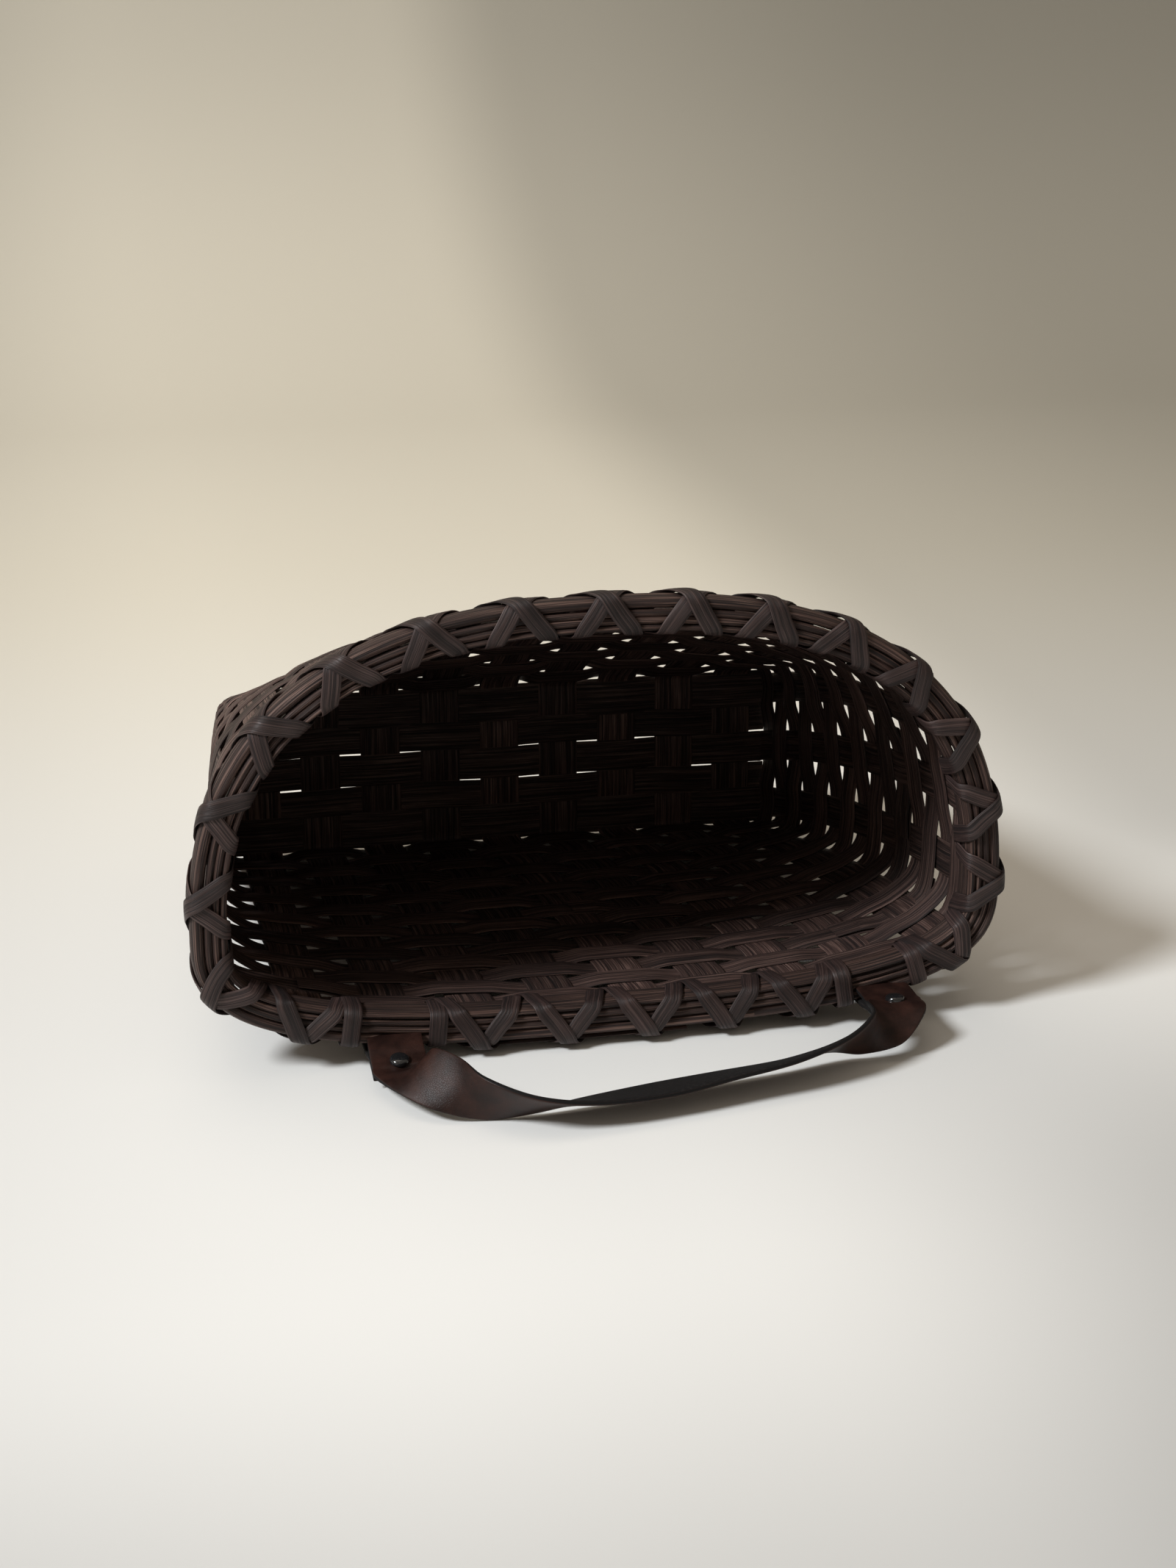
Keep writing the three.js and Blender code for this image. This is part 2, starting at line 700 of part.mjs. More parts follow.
// Rivets: a domed cap over a headed post that passes through both layers of the tab
const postHead = [
  [0, -rivetFootHeight],
  [rivetHeadDiameter * 0.36, -rivetFootHeight],
  [rivetHeadDiameter / 2, -rivetFootHeight / 2],
  [rivetHeadDiameter / 2, 0],
  [rivetShaftDiameter / 2, 0],
  [rivetShaftDiameter / 2, doubleThick + 2 * clearance + rivetSeat - clearance],
  [0, doubleThick + 2 * clearance + rivetSeat - clearance],
];
const capDome = [
  [0, rivetSeat],
  [rivetHoleDiameter / 2, rivetSeat],
  [rivetHoleDiameter / 2, 0],
  [rivetHeadDiameter / 2, 0],
  [rivetHeadDiameter / 2, rivetHeadHeight * 0.35],
  [rivetHeadDiameter * 0.4, rivetHeadHeight * 0.72],
  [rivetHeadDiameter * 0.22, rivetHeadHeight * 0.94],
  [0, rivetHeadHeight],
];

function turned(profile) {
  return new THREE.LatheGeometry(profile.map(([r, h]) => new THREE.Vector2(r, h)), rivetSides);
}

function placeOnTab(mesh, tab, height) {
  mesh.position.copy(tab.fold)
    .addScaledVector(tab.run, rivetReach)
    .addScaledVector(tab.up, height);
  mesh.quaternion.setFromUnitVectors(new THREE.Vector3(0, 1, 0), tab.up);
  mesh.updateMatrix();
}

const wasm = await Module();
wasm.setup();

function toSolid(geometry) {
  const bare = new THREE.BufferGeometry();
  bare.setAttribute('position', geometry.getAttribute('position').clone());
  bare.setIndex(geometry.getIndex().clone());
  const merged = mergeVertices(bare);
  return new wasm.Manifold(new wasm.Mesh({
    numProp: 3,
    vertProperties: new Float32Array(merged.getAttribute('position').array),
    triVerts: new Uint32Array(merged.getIndex().array),
  }));
}

function toGeometry(solid) {
  const mesh = solid.getMesh();
  const geometry = new THREE.BufferGeometry();
  geometry.setAttribute('position', new THREE.Float32BufferAttribute(mesh.vertProperties, 3));
  geometry.setIndex(Array.from(mesh.triVerts));
  geometry.computeVertexNormals();
  return geometry;
}

function rivetHole(tab) {
  const drill = new THREE.Mesh(new THREE.CylinderGeometry(
    rivetHoleDiameter / 2,
    rivetHoleDiameter / 2,
    4 * doubleThick,
    rivetSides,
  ));
  placeOnTab(drill, tab, 0);
  return toSolid(drill.geometry.applyMatrix4(drill.matrix));
}

const strapSolid = toSolid(skinSections(strapSections(), false))
  .subtract(rivetHole(leftTab))
  .subtract(rivetHole(rightTab));
addPiece('handle_strap', toGeometry(strapSolid), leather);

[['left', leftTab], ['right', rightTab]].forEach(([side, tab]) => {
  const seat = doubleThick / 2 + clearance;
  placeOnTab(addPiece(`rivet_post_${side}`, turned(postHead), rivetBlack), tab, -seat);
  placeOnTab(addPiece(`rivet_cap_${side}`, turned(capDome), rivetBlack), tab, seat);
});

// The origin is under the middle of the whole basket, on the surface that it lies on
body.rotation.x = -lean;
const box = new THREE.Box3().setFromObject(body, true);
const middle = box.getCenter(new THREE.Vector3());
body.position.set(-middle.x, -middle.y, -box.min.z);

export default basket;
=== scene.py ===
import json
import math
import bmesh
import bpy
import numpy as np
from mathutils import Matrix, Vector


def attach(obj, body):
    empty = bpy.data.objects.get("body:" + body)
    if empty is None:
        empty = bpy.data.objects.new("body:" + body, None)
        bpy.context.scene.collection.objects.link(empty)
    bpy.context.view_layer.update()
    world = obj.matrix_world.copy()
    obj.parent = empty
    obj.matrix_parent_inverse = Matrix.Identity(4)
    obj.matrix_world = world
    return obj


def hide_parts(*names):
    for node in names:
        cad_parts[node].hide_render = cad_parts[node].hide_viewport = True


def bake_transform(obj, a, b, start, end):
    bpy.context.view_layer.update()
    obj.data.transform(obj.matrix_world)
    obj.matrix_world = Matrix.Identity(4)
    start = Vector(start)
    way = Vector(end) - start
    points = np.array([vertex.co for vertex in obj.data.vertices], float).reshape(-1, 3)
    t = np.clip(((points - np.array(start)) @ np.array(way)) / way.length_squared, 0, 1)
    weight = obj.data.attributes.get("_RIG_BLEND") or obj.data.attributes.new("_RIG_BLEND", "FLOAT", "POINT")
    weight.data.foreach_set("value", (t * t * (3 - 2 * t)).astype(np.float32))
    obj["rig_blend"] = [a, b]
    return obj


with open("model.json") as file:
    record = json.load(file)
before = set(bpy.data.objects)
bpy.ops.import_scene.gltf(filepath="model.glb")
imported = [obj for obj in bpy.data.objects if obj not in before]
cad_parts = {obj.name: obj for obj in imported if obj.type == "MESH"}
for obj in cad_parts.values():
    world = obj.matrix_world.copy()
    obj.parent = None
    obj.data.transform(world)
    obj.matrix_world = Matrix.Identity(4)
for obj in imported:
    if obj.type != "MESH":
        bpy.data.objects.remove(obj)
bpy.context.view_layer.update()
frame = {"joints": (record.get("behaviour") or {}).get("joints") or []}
scene = bpy.context.scene
scene.view_settings.view_transform = "Standard"
mm = 0.001


# a node's output socket, with the sums that shaders and node trees need
class Wire:
    def __init__(self, tree, socket):
        self.tree, self.socket = tree, socket

    def maths(self, operation, other=None, flip=False):
        node = self.tree.nodes.new("ShaderNodeMath")
        node.operation = operation
        pair = (other, self) if flip else (self, other)
        for slot, value in zip(node.inputs, pair):
            plug(self.tree, slot, value)
        return Wire(self.tree, node.outputs[0])

    def __add__(self, other):
        return self.maths("ADD", other)

    def __radd__(self, other):
        return self.maths("ADD", other, True)

    def __sub__(self, other):
        return self.maths("SUBTRACT", other)

    def __rsub__(self, other):
        return self.maths("SUBTRACT", other, True)

    def __mul__(self, other):
        return self.maths("MULTIPLY", other)

    def __rmul__(self, other):
        return self.maths("MULTIPLY", other, True)

    def __truediv__(self, other):
        return self.maths("DIVIDE", other)

    def __rtruediv__(self, other):
        return self.maths("DIVIDE", other, True)

    def __pow__(self, other):
        return self.maths("POWER", other)

    def __abs__(self):
        return self.maths("ABSOLUTE")


def plug(tree, slot, value):
    if isinstance(value, Wire):
        tree.links.new(value.socket, slot)
    elif value is not None:
        slot.default_value = value


# makes the nodes of one tree
class Bench:
    def __init__(self, tree):
        self.tree = tree
        tree.nodes.clear()

    def make(self, kind, settings, sockets, output=0):
        node = self.tree.nodes.new(kind)
        for key, value in settings.items():
            setattr(node, key, value)
        for key, value in sockets.items():
            plug(self.tree, node.inputs[key], value)
        return Wire(self.tree, node.outputs[output]) if len(node.outputs) else node

    def split(self, vector):
        return [self.make("ShaderNodeSeparateXYZ", {}, {0: vector}, axis) for axis in range(3)]

    def join(self, x, y, z):
        return self.make("ShaderNodeCombineXYZ", {}, {0: x, 1: y, 2: z})

    def noise(self, vector, scale, detail=2.0, rough=0.5):
        sockets = {"Vector": vector, "Scale": scale, "Detail": detail, "Roughness": rough}
        return self.make("ShaderNodeTexNoise", {}, sockets)

    def stretch(self, value, low, high):
        sockets = {0: value, 1: low, 2: high, 3: 0.0, 4: 1.0}
        return self.make("ShaderNodeMapRange", {"interpolation_type": "SMOOTHSTEP"}, sockets)

    def blend(self, share, first, second):
        return self.make("ShaderNodeMix", {"data_type": "RGBA"}, {0: share, 6: first, 7: second}, 2)

    def tint(self, colour, amount):
        return self.make("ShaderNodeVectorMath", {"operation": "SCALE"}, {0: colour, 3: amount})

    def bump(self, height, strength, distance):
        return self.make("ShaderNodeBump", {}, {"Strength": strength, "Distance": distance, "Height": height})

    def surface(self, sockets):
        shader = self.make("ShaderNodeBsdfPrincipled", {}, sockets)
        self.make("ShaderNodeOutputMaterial", {}, {0: shader})


def newMaterial(name):
    material = bpy.data.materials.new(name)
    material.use_nodes = True
    return material, Bench(material.node_tree)


# camera at the photograph's angle, in millimetres of the row frame
cameraView = {
    "focal": 3400.0, "imageHeight": 2134.0, "sensor": 36.0,
    "yaw": 12.65, "pitch": 19.15, "roll": 0.45, "aim": (-8.8, -76.2, 100.5), "distance": 867.0,
}


def placeCamera(view):
    yaw, pitch, roll = (math.radians(view[key]) for key in ("yaw", "pitch", "roll"))
    look = Vector((math.sin(yaw) * math.cos(pitch), math.cos(yaw) * math.cos(pitch), -math.sin(pitch)))
    right = Vector((math.cos(yaw), -math.sin(yaw), 0))
    up = right.cross(look)
    across = right * math.cos(roll) + up * math.sin(roll)
    upward = up * math.cos(roll) - right * math.sin(roll)
    spot = (Vector(view["aim"]) - look * view["distance"]) * mm
    data = bpy.data.cameras.new("photoCamera")
    data.sensor_fit = "VERTICAL"
    data.sensor_height = view["sensor"]
    data.sensor_width = view["sensor"]
    data.lens = view["focal"] * view["sensor"] / view["imageHeight"]
    data.clip_start = 0.01
    data.clip_end = 50.0
    camera = bpy.data.objects.new("photoCamera", data)
    scene.collection.objects.link(camera)
    columns = (across, upward, -look, spot)
    rows = [[column[axis] for column in columns] for axis in range(3)]
    camera.matrix_world = Matrix(rows + [[0, 0, 0, 1]])
    scene.camera = camera


placeCamera(cameraView)
print("camera placed")

# floor and sweep in one paper sheet, soft light from the upper left, dark room in front
studio = {
    "halfWidth": 12.0, "front": -12.0, "bendStart": 1.1, "bendRadius": 0.9, "bendSteps": 24, "height": 3.0,
    # the far paper colour is painted darker and warmer: painted shade of the light falling off towards the
    # back
    "paper": (0.84, 0.83, 0.81, 1), "paperFar": (0.80, 0.745, 0.63, 1),
    # how strongly the paper's colour is painted darker: painted shade towards the front, right, left, far
    # right, top and sides
    "frontShade": 0.34, "rightShade": 0.38, "leftShade": 0.20,
    "rightFarShade": 0.28, "topShade": 0.24, "sideShade": 0.22,
    "keySpot": (-2.0, -0.88, 2.0), "keyAim": (0.0, -0.02, 0.04), "keySize": 0.7, "keyPower": 84.0,
    "keyColour": (0.93, 0.97, 1.0),
    "fillSpot": (-0.3, 0.45, 1.6), "fillAim": (0.0, 0.0, 0.0), "fillSize": 1.4, "fillPower": 4.5,
    "fillColour": (1.0, 0.90, 0.77),
    "room": (1.0, 0.88, 0.73, 1), "roomBack": 0.36, "roomFront": 0.25,
}


def makePaper(look):
    material, bench = newMaterial("paperSweep")
    spot = bench.make("ShaderNodeTexCoord", {}, {}, "Object")
    x, y, z = bench.split(spot)
    # share of painted far shade, growing towards the back and up the sweep
    farShadeShare = bench.stretch(y + z, -0.15, 0.7)
    # painted shade: the paper is darkened by where it lies, as a vignette of the light
    shades = {
        "frontShade": bench.stretch(y * -1.0, 0.22, 0.45),
        "rightShade": bench.stretch(x, 0.0, 0.2) * bench.stretch(y * -1.0, 0.0, 0.25),
        "leftShade": bench.stretch(x * -1.0, 0.08, 0.32),
        "rightFarShade": bench.stretch(x, 0.17, 0.32) * bench.stretch(y, -0.05, 0.12),
        "topShade": bench.stretch(z, 0.0, 0.35),
        "sideShade": bench.stretch(abs(x), 0.25, 0.8) * farShadeShare,
    }
    colour = bench.blend(farShadeShare, look["paper"], look["paperFar"])
    for name, part in shades.items():
        colour = bench.tint(colour, 1.0 - part * look[name])
    fibre = bench.noise(spot, 900.0)
    bench.surface({
        "Base Color": colour, "Roughness": 0.85, "Specular IOR Level": 0.2,
        "Normal": bench.bump(fibre, 0.04, 0.0003),
    })
    return material


def makeSweep(look):
    outline = [(look["front"], 0.0), (look["bendStart"], 0.0)]
    radius = look["bendRadius"]
    for step in range(1, look["bendSteps"] + 1):
        turn = math.pi / 2 * step / look["bendSteps"]
        outline.append((look["bendStart"] + radius * math.sin(turn), radius * (1 - math.cos(turn))))
    outline.append((look["bendStart"] + radius, look["height"]))
    points = [(side * look["halfWidth"], y, z) for y, z in outline for side in (-1, 1)]
    faces = [(2 * n, 2 * n + 1, 2 * n + 3, 2 * n + 2) for n in range(len(outline) - 1)]
    mesh = bpy.data.meshes.new("paperSweep")
    mesh.from_pydata(points, [], faces)
    mesh.shade_smooth()
    mesh.materials.append(makePaper(look))
    sweep = bpy.data.objects.new("paperSweep", mesh)
    scene.collection.objects.link(sweep)


def makeLamp(name, look):
    lamp = bpy.data.lights.new(name + "Light", "AREA")
    lamp.shape = "DISK"
    lamp.size = look[name + "Size"]
    lamp.energy = look[name + "Power"]
    lamp.color = look[name + "Colour"]
    holder = bpy.data.objects.new(name + "Light", lamp)
    scene.collection.objects.link(holder)
    spot, aim = Vector(look[name + "Spot"]), Vector(look[name + "Aim"])
    holder.location = spot
    holder.rotation_mode = "QUATERNION"
    holder.rotation_quaternion = (aim - spot).to_track_quat("-Z", "Y")


def makeRoom(look):
    world = bpy.data.worlds.new("studioRoom")
    scene.world = world
    world.use_nodes = True
    bench = Bench(world.node_tree)
    x, y, z = bench.split(bench.make("ShaderNodeTexCoord", {}, {}, "Generated"))
    share = bench.stretch(y + z * 0.9 - x * 0.6, -0.7, 0.9)
    strength = share * (look["roomBack"] - look["roomFront"]) + look["roomFront"]
    glow = bench.make("ShaderNodeBackground", {}, {"Color": look["room"], "Strength": strength})
    bench.make("ShaderNodeOutputWorld", {}, {0: glow})


makeSweep(studio)
makeLamp("key", studio)
makeLamp("fill", studio)
makeRoom(studio)
print("studio made")

reedLook = {
    "deep": (0.010, 0.0055, 0.005, 1), "body": (0.064, 0.036, 0.030, 1), "pale": (0.165, 0.106, 0.088, 1),
    "paleShare": 0.7, "streak": 1.1, "along": 14.0, "toneSpread": 0.7,
    "rough": 0.52, "specular": 0.3, "bump": 0.6, "bumpDepth": 0.5,
}
rimLook = {
    "deep": (0.009, 0.005, 0.0045, 1), "body": (0.049, 0.026, 0.0205, 1), "pale": (0.155, 0.095, 0.076, 1),
    "paleShare": 0.8, "streak": 1.0, "along": 12.0, "toneSpread": 0.4,
    "rough": 0.50, "specular": 0.32, "bump": 0.7, "bumpDepth": 0.6,
}
lashLook = {
    "deep": (0.011, 0.0065, 0.0062, 1), "body": (0.036, 0.0205, 0.0183, 1), "pale": (0.104, 0.069, 0.062, 1),
    "paleShare": 0.6, "streak": 0.65, "along": 16.0, "toneSpread": 0.5,
    "rough": 0.46, "specular": 0.35, "bump": 0.5, "bumpDepth": 0.35,
}


# stained reed: fibres run along each strip, and every strip has a tone of its own
def reedFinish(name, look):
    material, bench = newMaterial(name)
    reed = bench.make("ShaderNodeAttribute", {"attribute_name": "reed"}, {}, "Vector")
    tone = bench.make("ShaderNodeAttribute", {"attribute_name": "tone"}, {}, "Fac")
    spot = bench.make("ShaderNodeTexCoord", {}, {}, "Object")
    run, side, face = bench.split(reed)
    perStreak = 1 / (look["streak"] * mm)
    fibres = bench.join(run * look["along"] + tone * 91.0, side * perStreak, face * perStreak + tone * 57.0)
    broad = bench.noise(fibres, 1.0, 2.0, 0.55)
    fine = bench.noise(fibres, 2.9, 2.0, 0.6)
    blotch = bench.noise(spot, 38.0, 3.0, 0.6)
    grooves = bench.stretch(broad * 0.6 + fine * 0.4, 0.36, 0.60)
    colour = bench.blend(grooves, look["deep"], look["body"])
    ridges = bench.stretch(fine + (broad - 0.5) * 0.5, 0.52, 0.70) * look["paleShare"]
    colour = bench.blend(ridges, colour, look["pale"])
    ownTone = tone * look["toneSpread"] + (1.0 - look["toneSpread"] * 0.5)
    colour = bench.tint(colour, ownTone * (blotch * 0.7 + 0.65))
    rough = (1.0 - grooves) * 0.22 + look["rough"] + (blotch - 0.5) * 0.12
    height = grooves * 0.65 + fine * 0.35
    bench.surface({
        "Base Color": colour, "Roughness": rough, "Specular IOR Level": look["specular"],
        "Normal": bench.bump(height, look["bump"], look["bumpDepth"] * mm),
    })
    return material


leatherLook = {
    "grain": (0.037, 0.0148, 0.0106, 1), "grainDark": (0.012, 0.0053, 0.0042, 1),
    "flesh": (0.006, 0.005, 0.005, 1), "fleshPale": (0.019, 0.016, 0.0155, 1),
    "edge": (0.004, 0.0034, 0.0035, 1), "halfThick": 1.0, "rough": 0.45, "specular": 0.22,
}


# strap leather: mottled grain on one face, napped flesh on the other, dark cut edges
def leatherFinish(name, look):
    material, bench = newMaterial(name)
    reed = bench.make("ShaderNodeAttribute", {"attribute_name": "reed"}, {}, "Vector")
    run, side, face = bench.split(reed)
    level = face * (1 / (look["halfThick"] * mm))
    grainSide = bench.stretch(level, 0.25, 0.7)
    fleshSide = bench.stretch(level * -1.0, 0.25, 0.7)
    flat = bench.join(run, side, face * 0.4)
    mottle = bench.noise(flat, 95.0, 4.0, 0.6)
    cells = {"Vector": flat, "Scale": 1500.0}
    pores = bench.make("ShaderNodeTexVoronoi", {"feature": "DISTANCE_TO_EDGE"}, cells)
    nap = bench.noise(bench.join(run * 700.0, side * 1500.0, face * 900.0), 1.0, 3.0, 0.7)
    wear = bench.stretch(mottle, 0.3, 0.75)
    colour = bench.blend(wear, look["grainDark"], look["grain"])
    flesh = bench.blend(bench.stretch(nap, 0.45, 0.7), look["flesh"], look["fleshPale"])
    colour = bench.blend(fleshSide, colour, flesh)
    edge = 1.0 - bench.stretch(grainSide + fleshSide, 0.1, 0.9)
    colour = bench.blend(edge, colour, look["edge"])
    rough = look["rough"] + (mottle - 0.5) * 0.2 + fleshSide * 0.42 + edge * 0.3
    grainHeight = bench.stretch(pores, 0.0, 0.12) * grainSide * 0.25
    height = grainHeight + nap * (fleshSide + edge) * 0.9 + mottle * 0.6
    bench.surface({
        "Base Color": colour, "Roughness": rough, "Specular IOR Level": look["specular"],
        "Normal": bench.bump(height, 0.35, 0.3 * mm),
    })
    return material


rivetLook = {"body": (0.010, 0.010, 0.011, 1), "dust": (0.05, 0.048, 0.046, 1), "rough": 0.12}


# gloss black paint with a few dull scuffs
def rivetFinish(name, look):
    material, bench = newMaterial(name)
    spot = bench.make("ShaderNodeTexCoord", {}, {}, "Object")
    scuff = bench.noise(spot, 900.0, 3.0, 0.6)
    marks = bench.stretch(scuff, 0.62, 0.8)
    bench.surface({
        "Base Color": bench.blend(marks * 0.5, look["body"], look["dust"]),
        "Roughness": marks * 0.3 + look["rough"], "Metallic": 0.0,
        "Coat Weight": 0.9, "Coat Roughness": 0.06, "Normal": bench.bump(scuff, 0.05, 0.0001),
    })
    return material


finishes = {
    "reed": reedFinish("stainedReed", reedLook),
    "rim_reed": reedFinish("stainedRimReed", rimLook),
    "lashing": reedFinish("stainedLashing", lashLook),
    "leather": leatherFinish("strapLeather", leatherLook),
    "rivet": rivetFinish("rivetGloss", rivetLook),
}
print("finishes made")

# the wall, in the basket's own millimetres: a D-shaped mouth at y 0 that narrows to the flat base at y depth
wallShape = {
    "mouthHalfWidth": 140.0, "mouthHeight": 146.0, "widestHeight": 38.0, "archPower": 2.5, "backPower": 2.87,
    "depth": 215.0, "swell": 0.8, "backHeight": 11.3, "baseHalfWidth": 118.5, "baseHeight": 69.8,
    "crossCount": 9, "crossPitch": 26.0, "stakeWidth": 17.0,
    "sideCount": 3, "sidePitch": 25.8, "sideWidth": 13.6,
    "backOffset": 15.0, "cornerIn": (1.5, 0.575), "lean": 0.04708831, "shift": (-0.16558, -77.99443, 0.77432),
}


# from the basket's own millimetres to the row frame, which it leans in by its rim's thickness
def settle(points, asWay=False):
    p = np.asarray(points, float)
    c, s = math.cos(wallShape["lean"]), math.sin(wallShape["lean"])
    turned = np.stack([p[:, 0], p[:, 1] * c + p[:, 2] * s, p[:, 2] * c - p[:, 1] * s], 1)
    return turned * mm if asWay else (turned + np.array(wallShape["shift"])) * mm


def unit(ways):
    return ways / np.maximum(np.linalg.norm(ways, axis=-1, keepdims=True), 1e-9)


def ease(t):
    t = np.clip(t, 0, 1)
    return t * t * (3 - 2 * t)


def hump(distance, reach):
    return ease(1 - np.abs(distance) / reach)


def mouthOutline(shape, steps=6000):
    turn = -math.pi / 2 + 2 * math.pi * np.arange(steps + 1) / steps
    c, s = np.cos(turn), np.sin(turn)
    power = np.where(s > 0, shape["archPower"], shape["backPower"])
    reach = np.where(s > 0, shape["mouthHeight"] - shape["widestHeight"], shape["widestHeight"])
    x = shape["mouthHalfWidth"] * np.sign(c) * np.abs(c) ** (2 / power)
    z = shape["backHeight"] + shape["widestHeight"] + np.sign(s) * reach * np.abs(s) ** (2 / power)
    length = np.concatenate([[0], np.cumsum(np.hypot(np.diff(x), np.diff(z)))])
    return length, x, z


outlineLength, outlineX, outlineZ = mouthOutline(wallShape)
mouthLength = outlineLength[-1]

# the stakes in their order round the mouth, from the middle of the back
crossCount, sideCount = wallShape["crossCount"], wallShape["sideCount"]
middleCross, middleSide = crossCount // 2, sideCount // 2
stakeWalls = [("back", i) for i in range(middleCross, crossCount)]
stakeWalls += [("right", k) for k in range(sideCount)]
stakeWalls += [("front", i) for i in reversed(range(crossCount))]
stakeWalls += [("left", k) for k in reversed(range(sideCount))]
stakeWalls += [("back", i) for i in range(middleCross)]
stakeCount = len(stakeWalls)
frontMiddle = stakeWalls.index(("front", middleCross))
wallRun = {"back": (1, 0), "right": (0, 1), "front": (-1, 0), "left": (0, -1)}


def crossX(i):
    return (i - middleCross) * wallShape["crossPitch"]


def sideZ(k):
    return wallShape["backHeight"] + wallShape["baseHeight"] / 2 + (k - middleSide) * wallShape["sidePitch"]


def stakeBase(j):
    wall, n = stakeWalls[j % stakeCount]
    if wall in ("right", "left"):
        half = wallShape["baseHalfWidth"]
        return np.array((half if wall == "right" else -half, sideZ(n)))
    low = wallShape["backHeight"]
    return np.array((crossX(n), low if wall == "back" else low + wallShape["baseHeight"]))


def stakeRim(j):
    half, offset = mouthLength / 2, wallShape["backOffset"]
    if j <= frontMiddle:
        return offset + j * (half - offset) / frontMiddle
    return half + (j - frontMiddle) * (half - offset) / (stakeCount - 1 - frontMiddle)


# three guides for each stake: its two edges and the middle of the gap after it
def wallGuides():
    rims, bases = [], []
    for j in range(stakeCount):
        run = np.array(wallRun[stakeWalls[j][0]])
        half = (wallShape["stakeWidth"] if run[0] else wallShape["sideWidth"]) / 2
        after = (j + 1) % stakeCount
        nextRim = stakeRim(after) + (mouthLength if after == 0 else 0)
        base, nextBase = stakeBase(j), stakeBase(after)
        middle = (base + nextBase) / 2
        if stakeWalls[j][0] != stakeWalls[after][0]:
            side = np.sign(middle[0])
            corner = np.array([wallShape["baseHalfWidth"] * side, base[1] if run[0] else nextBase[1]])
            inward = np.array([-side, 1 if corner[1] < sideZ(middleSide) else -1])
            middle = corner + inward * np.array(wallShape["cornerIn"])
        rims += [stakeRim(j) - half, stakeRim(j) + half, (stakeRim(j) + nextRim) / 2]
        bases += [base - run * half, base + run * half, middle]
    return np.array(rims), np.array(bases)


guideRims, guideBases = wallGuides()
guideCount = len(guideRims)
guideRing = np.append(guideRims, guideRims[0] + mouthLength)
perGuide = 16


# places round the wall count the guides
def stakeShare(j):
    return 3.0 * j + 0.5


def gapShare(j):
    return 3.0 * j + 2.0


def closedCurve(points, share):
    count = len(points)
    chord = np.linalg.norm(np.roll(points, -1, 0) - points, axis=1)[:, None]
    before = np.roll(chord, 1, 0)
    ahead, behind = (np.roll(points, -1, 0) - points) / chord, (points - np.roll(points, 1, 0)) / before
    slope = (ahead * before + behind * chord) / (before + chord)
    n = np.floor(share).astype(int) % count
    after = (n + 1) % count
    t = (share - np.floor(share))[:, None]
    a, b = points[n], points[after]
    da, db = slope[n] * chord[n], slope[after] * chord[n]
    return (a * (2 * t**3 - 3 * t**2 + 1) + da * (t**3 - 2 * t**2 + t)
            + b * (3 * t**2 - 2 * t**3) + db * (t**3 - t**2))


fineShare = np.arange(guideCount * perGuide + 1) / perGuide
fineRim = np.interp(fineShare, np.arange(guideCount + 1), guideRing) % mouthLength
fineMouth = np.stack([np.interp(fineRim, outlineLength, line) for line in (outlineX, outlineZ)], 1)
fineBase = closedCurve(guideBases, fineShare % guideCount)


def shareOfRim(length):
    turns = np.floor((length - guideRims[0]) / mouthLength)
    return np.interp(length - turns * mouthLength, guideRing, np.arange(guideCount + 1)) + turns * guideCount


def rimLengthAt(share):
    turns = np.floor(share / guideCount)
    return np.interp(share - turns * guideCount, np.arange(guideCount + 1), guideRing) + turns * mouthLength


# the wall swells outwards on its way from the mouth to the base
def narrowing(y):
    way = y / wallShape["depth"]
    return way - wallShape["swell"] * way * (1 - way)


def wallFlat(share, y):
    at = np.asarray(share, float) % guideCount
    part = narrowing(np.asarray(y, float))[:, None]

    def pick(table):
        return np.stack([np.interp(at, fineShare, table[:, n]) for n in (0, 1)], 1)

    return pick(fineMouth) * (1 - part) + pick(fineBase) * part


# a point of the wall, by its share along the guides, y from the mouth and out from the wall's middle;
# and the way outwards there
def wallSpot(share, y, out):
    share = np.atleast_1d(np.asarray(share, float))
    y, out = (np.broadcast_to(value, share.shape).astype(float) for value in (y, out))
    way = wallFlat(share + 0.35, y) - wallFlat(share - 0.35, y)
    away = unit(np.stack([way[:, 1], -way[:, 0]], 1))
    flat = wallFlat(share, y) + away * out[:, None]
    return np.stack([flat[:, 0], y, flat[:, 1]], 1), np.stack([away[:, 0], 0 * y, away[:, 1]], 1)


# a geometry tree with named inputs; gives its bench, its inputs as wires and their identifiers
def newTree(name, inputs):
    tree = bpy.data.node_groups.new(name, "GeometryNodeTree")
    identifiers = {}
    for title, kind, value in inputs:
        socket = tree.interface.new_socket(title, in_out="INPUT", socket_type="NodeSocket" + kind)
        if value is not None:
            socket.default_value = value
        identifiers[title] = socket.identifier
    tree.interface.new_socket("Geometry", in_out="OUTPUT", socket_type="NodeSocketGeometry")
    bench = Bench(tree)
    start = tree.nodes.new("NodeGroupInput")
    given = {socket.name: Wire(tree, socket) for socket in start.outputs if socket.name}
    return bench, given, identifiers


def endTree(bench, geometry, finish):
    geometry = bench.make("GeometryNodeRealizeInstances", {}, {0: geometry})
    geometry = bench.make("GeometryNodeSetMaterial", {}, {"Geometry": geometry, "Material": finish})
    end = bench.tree.nodes.new("NodeGroupOutput")
    plug(bench.tree, end.inputs[0], geometry)


def storeValues(mesh, name, values):
    kind, key = ("FLOAT_VECTOR", "vector") if values.ndim == 2 else ("FLOAT", "value")
    mesh.attributes.new(name, kind, "POINT").data.foreach_set(key, values.astype(np.float32).ravel())


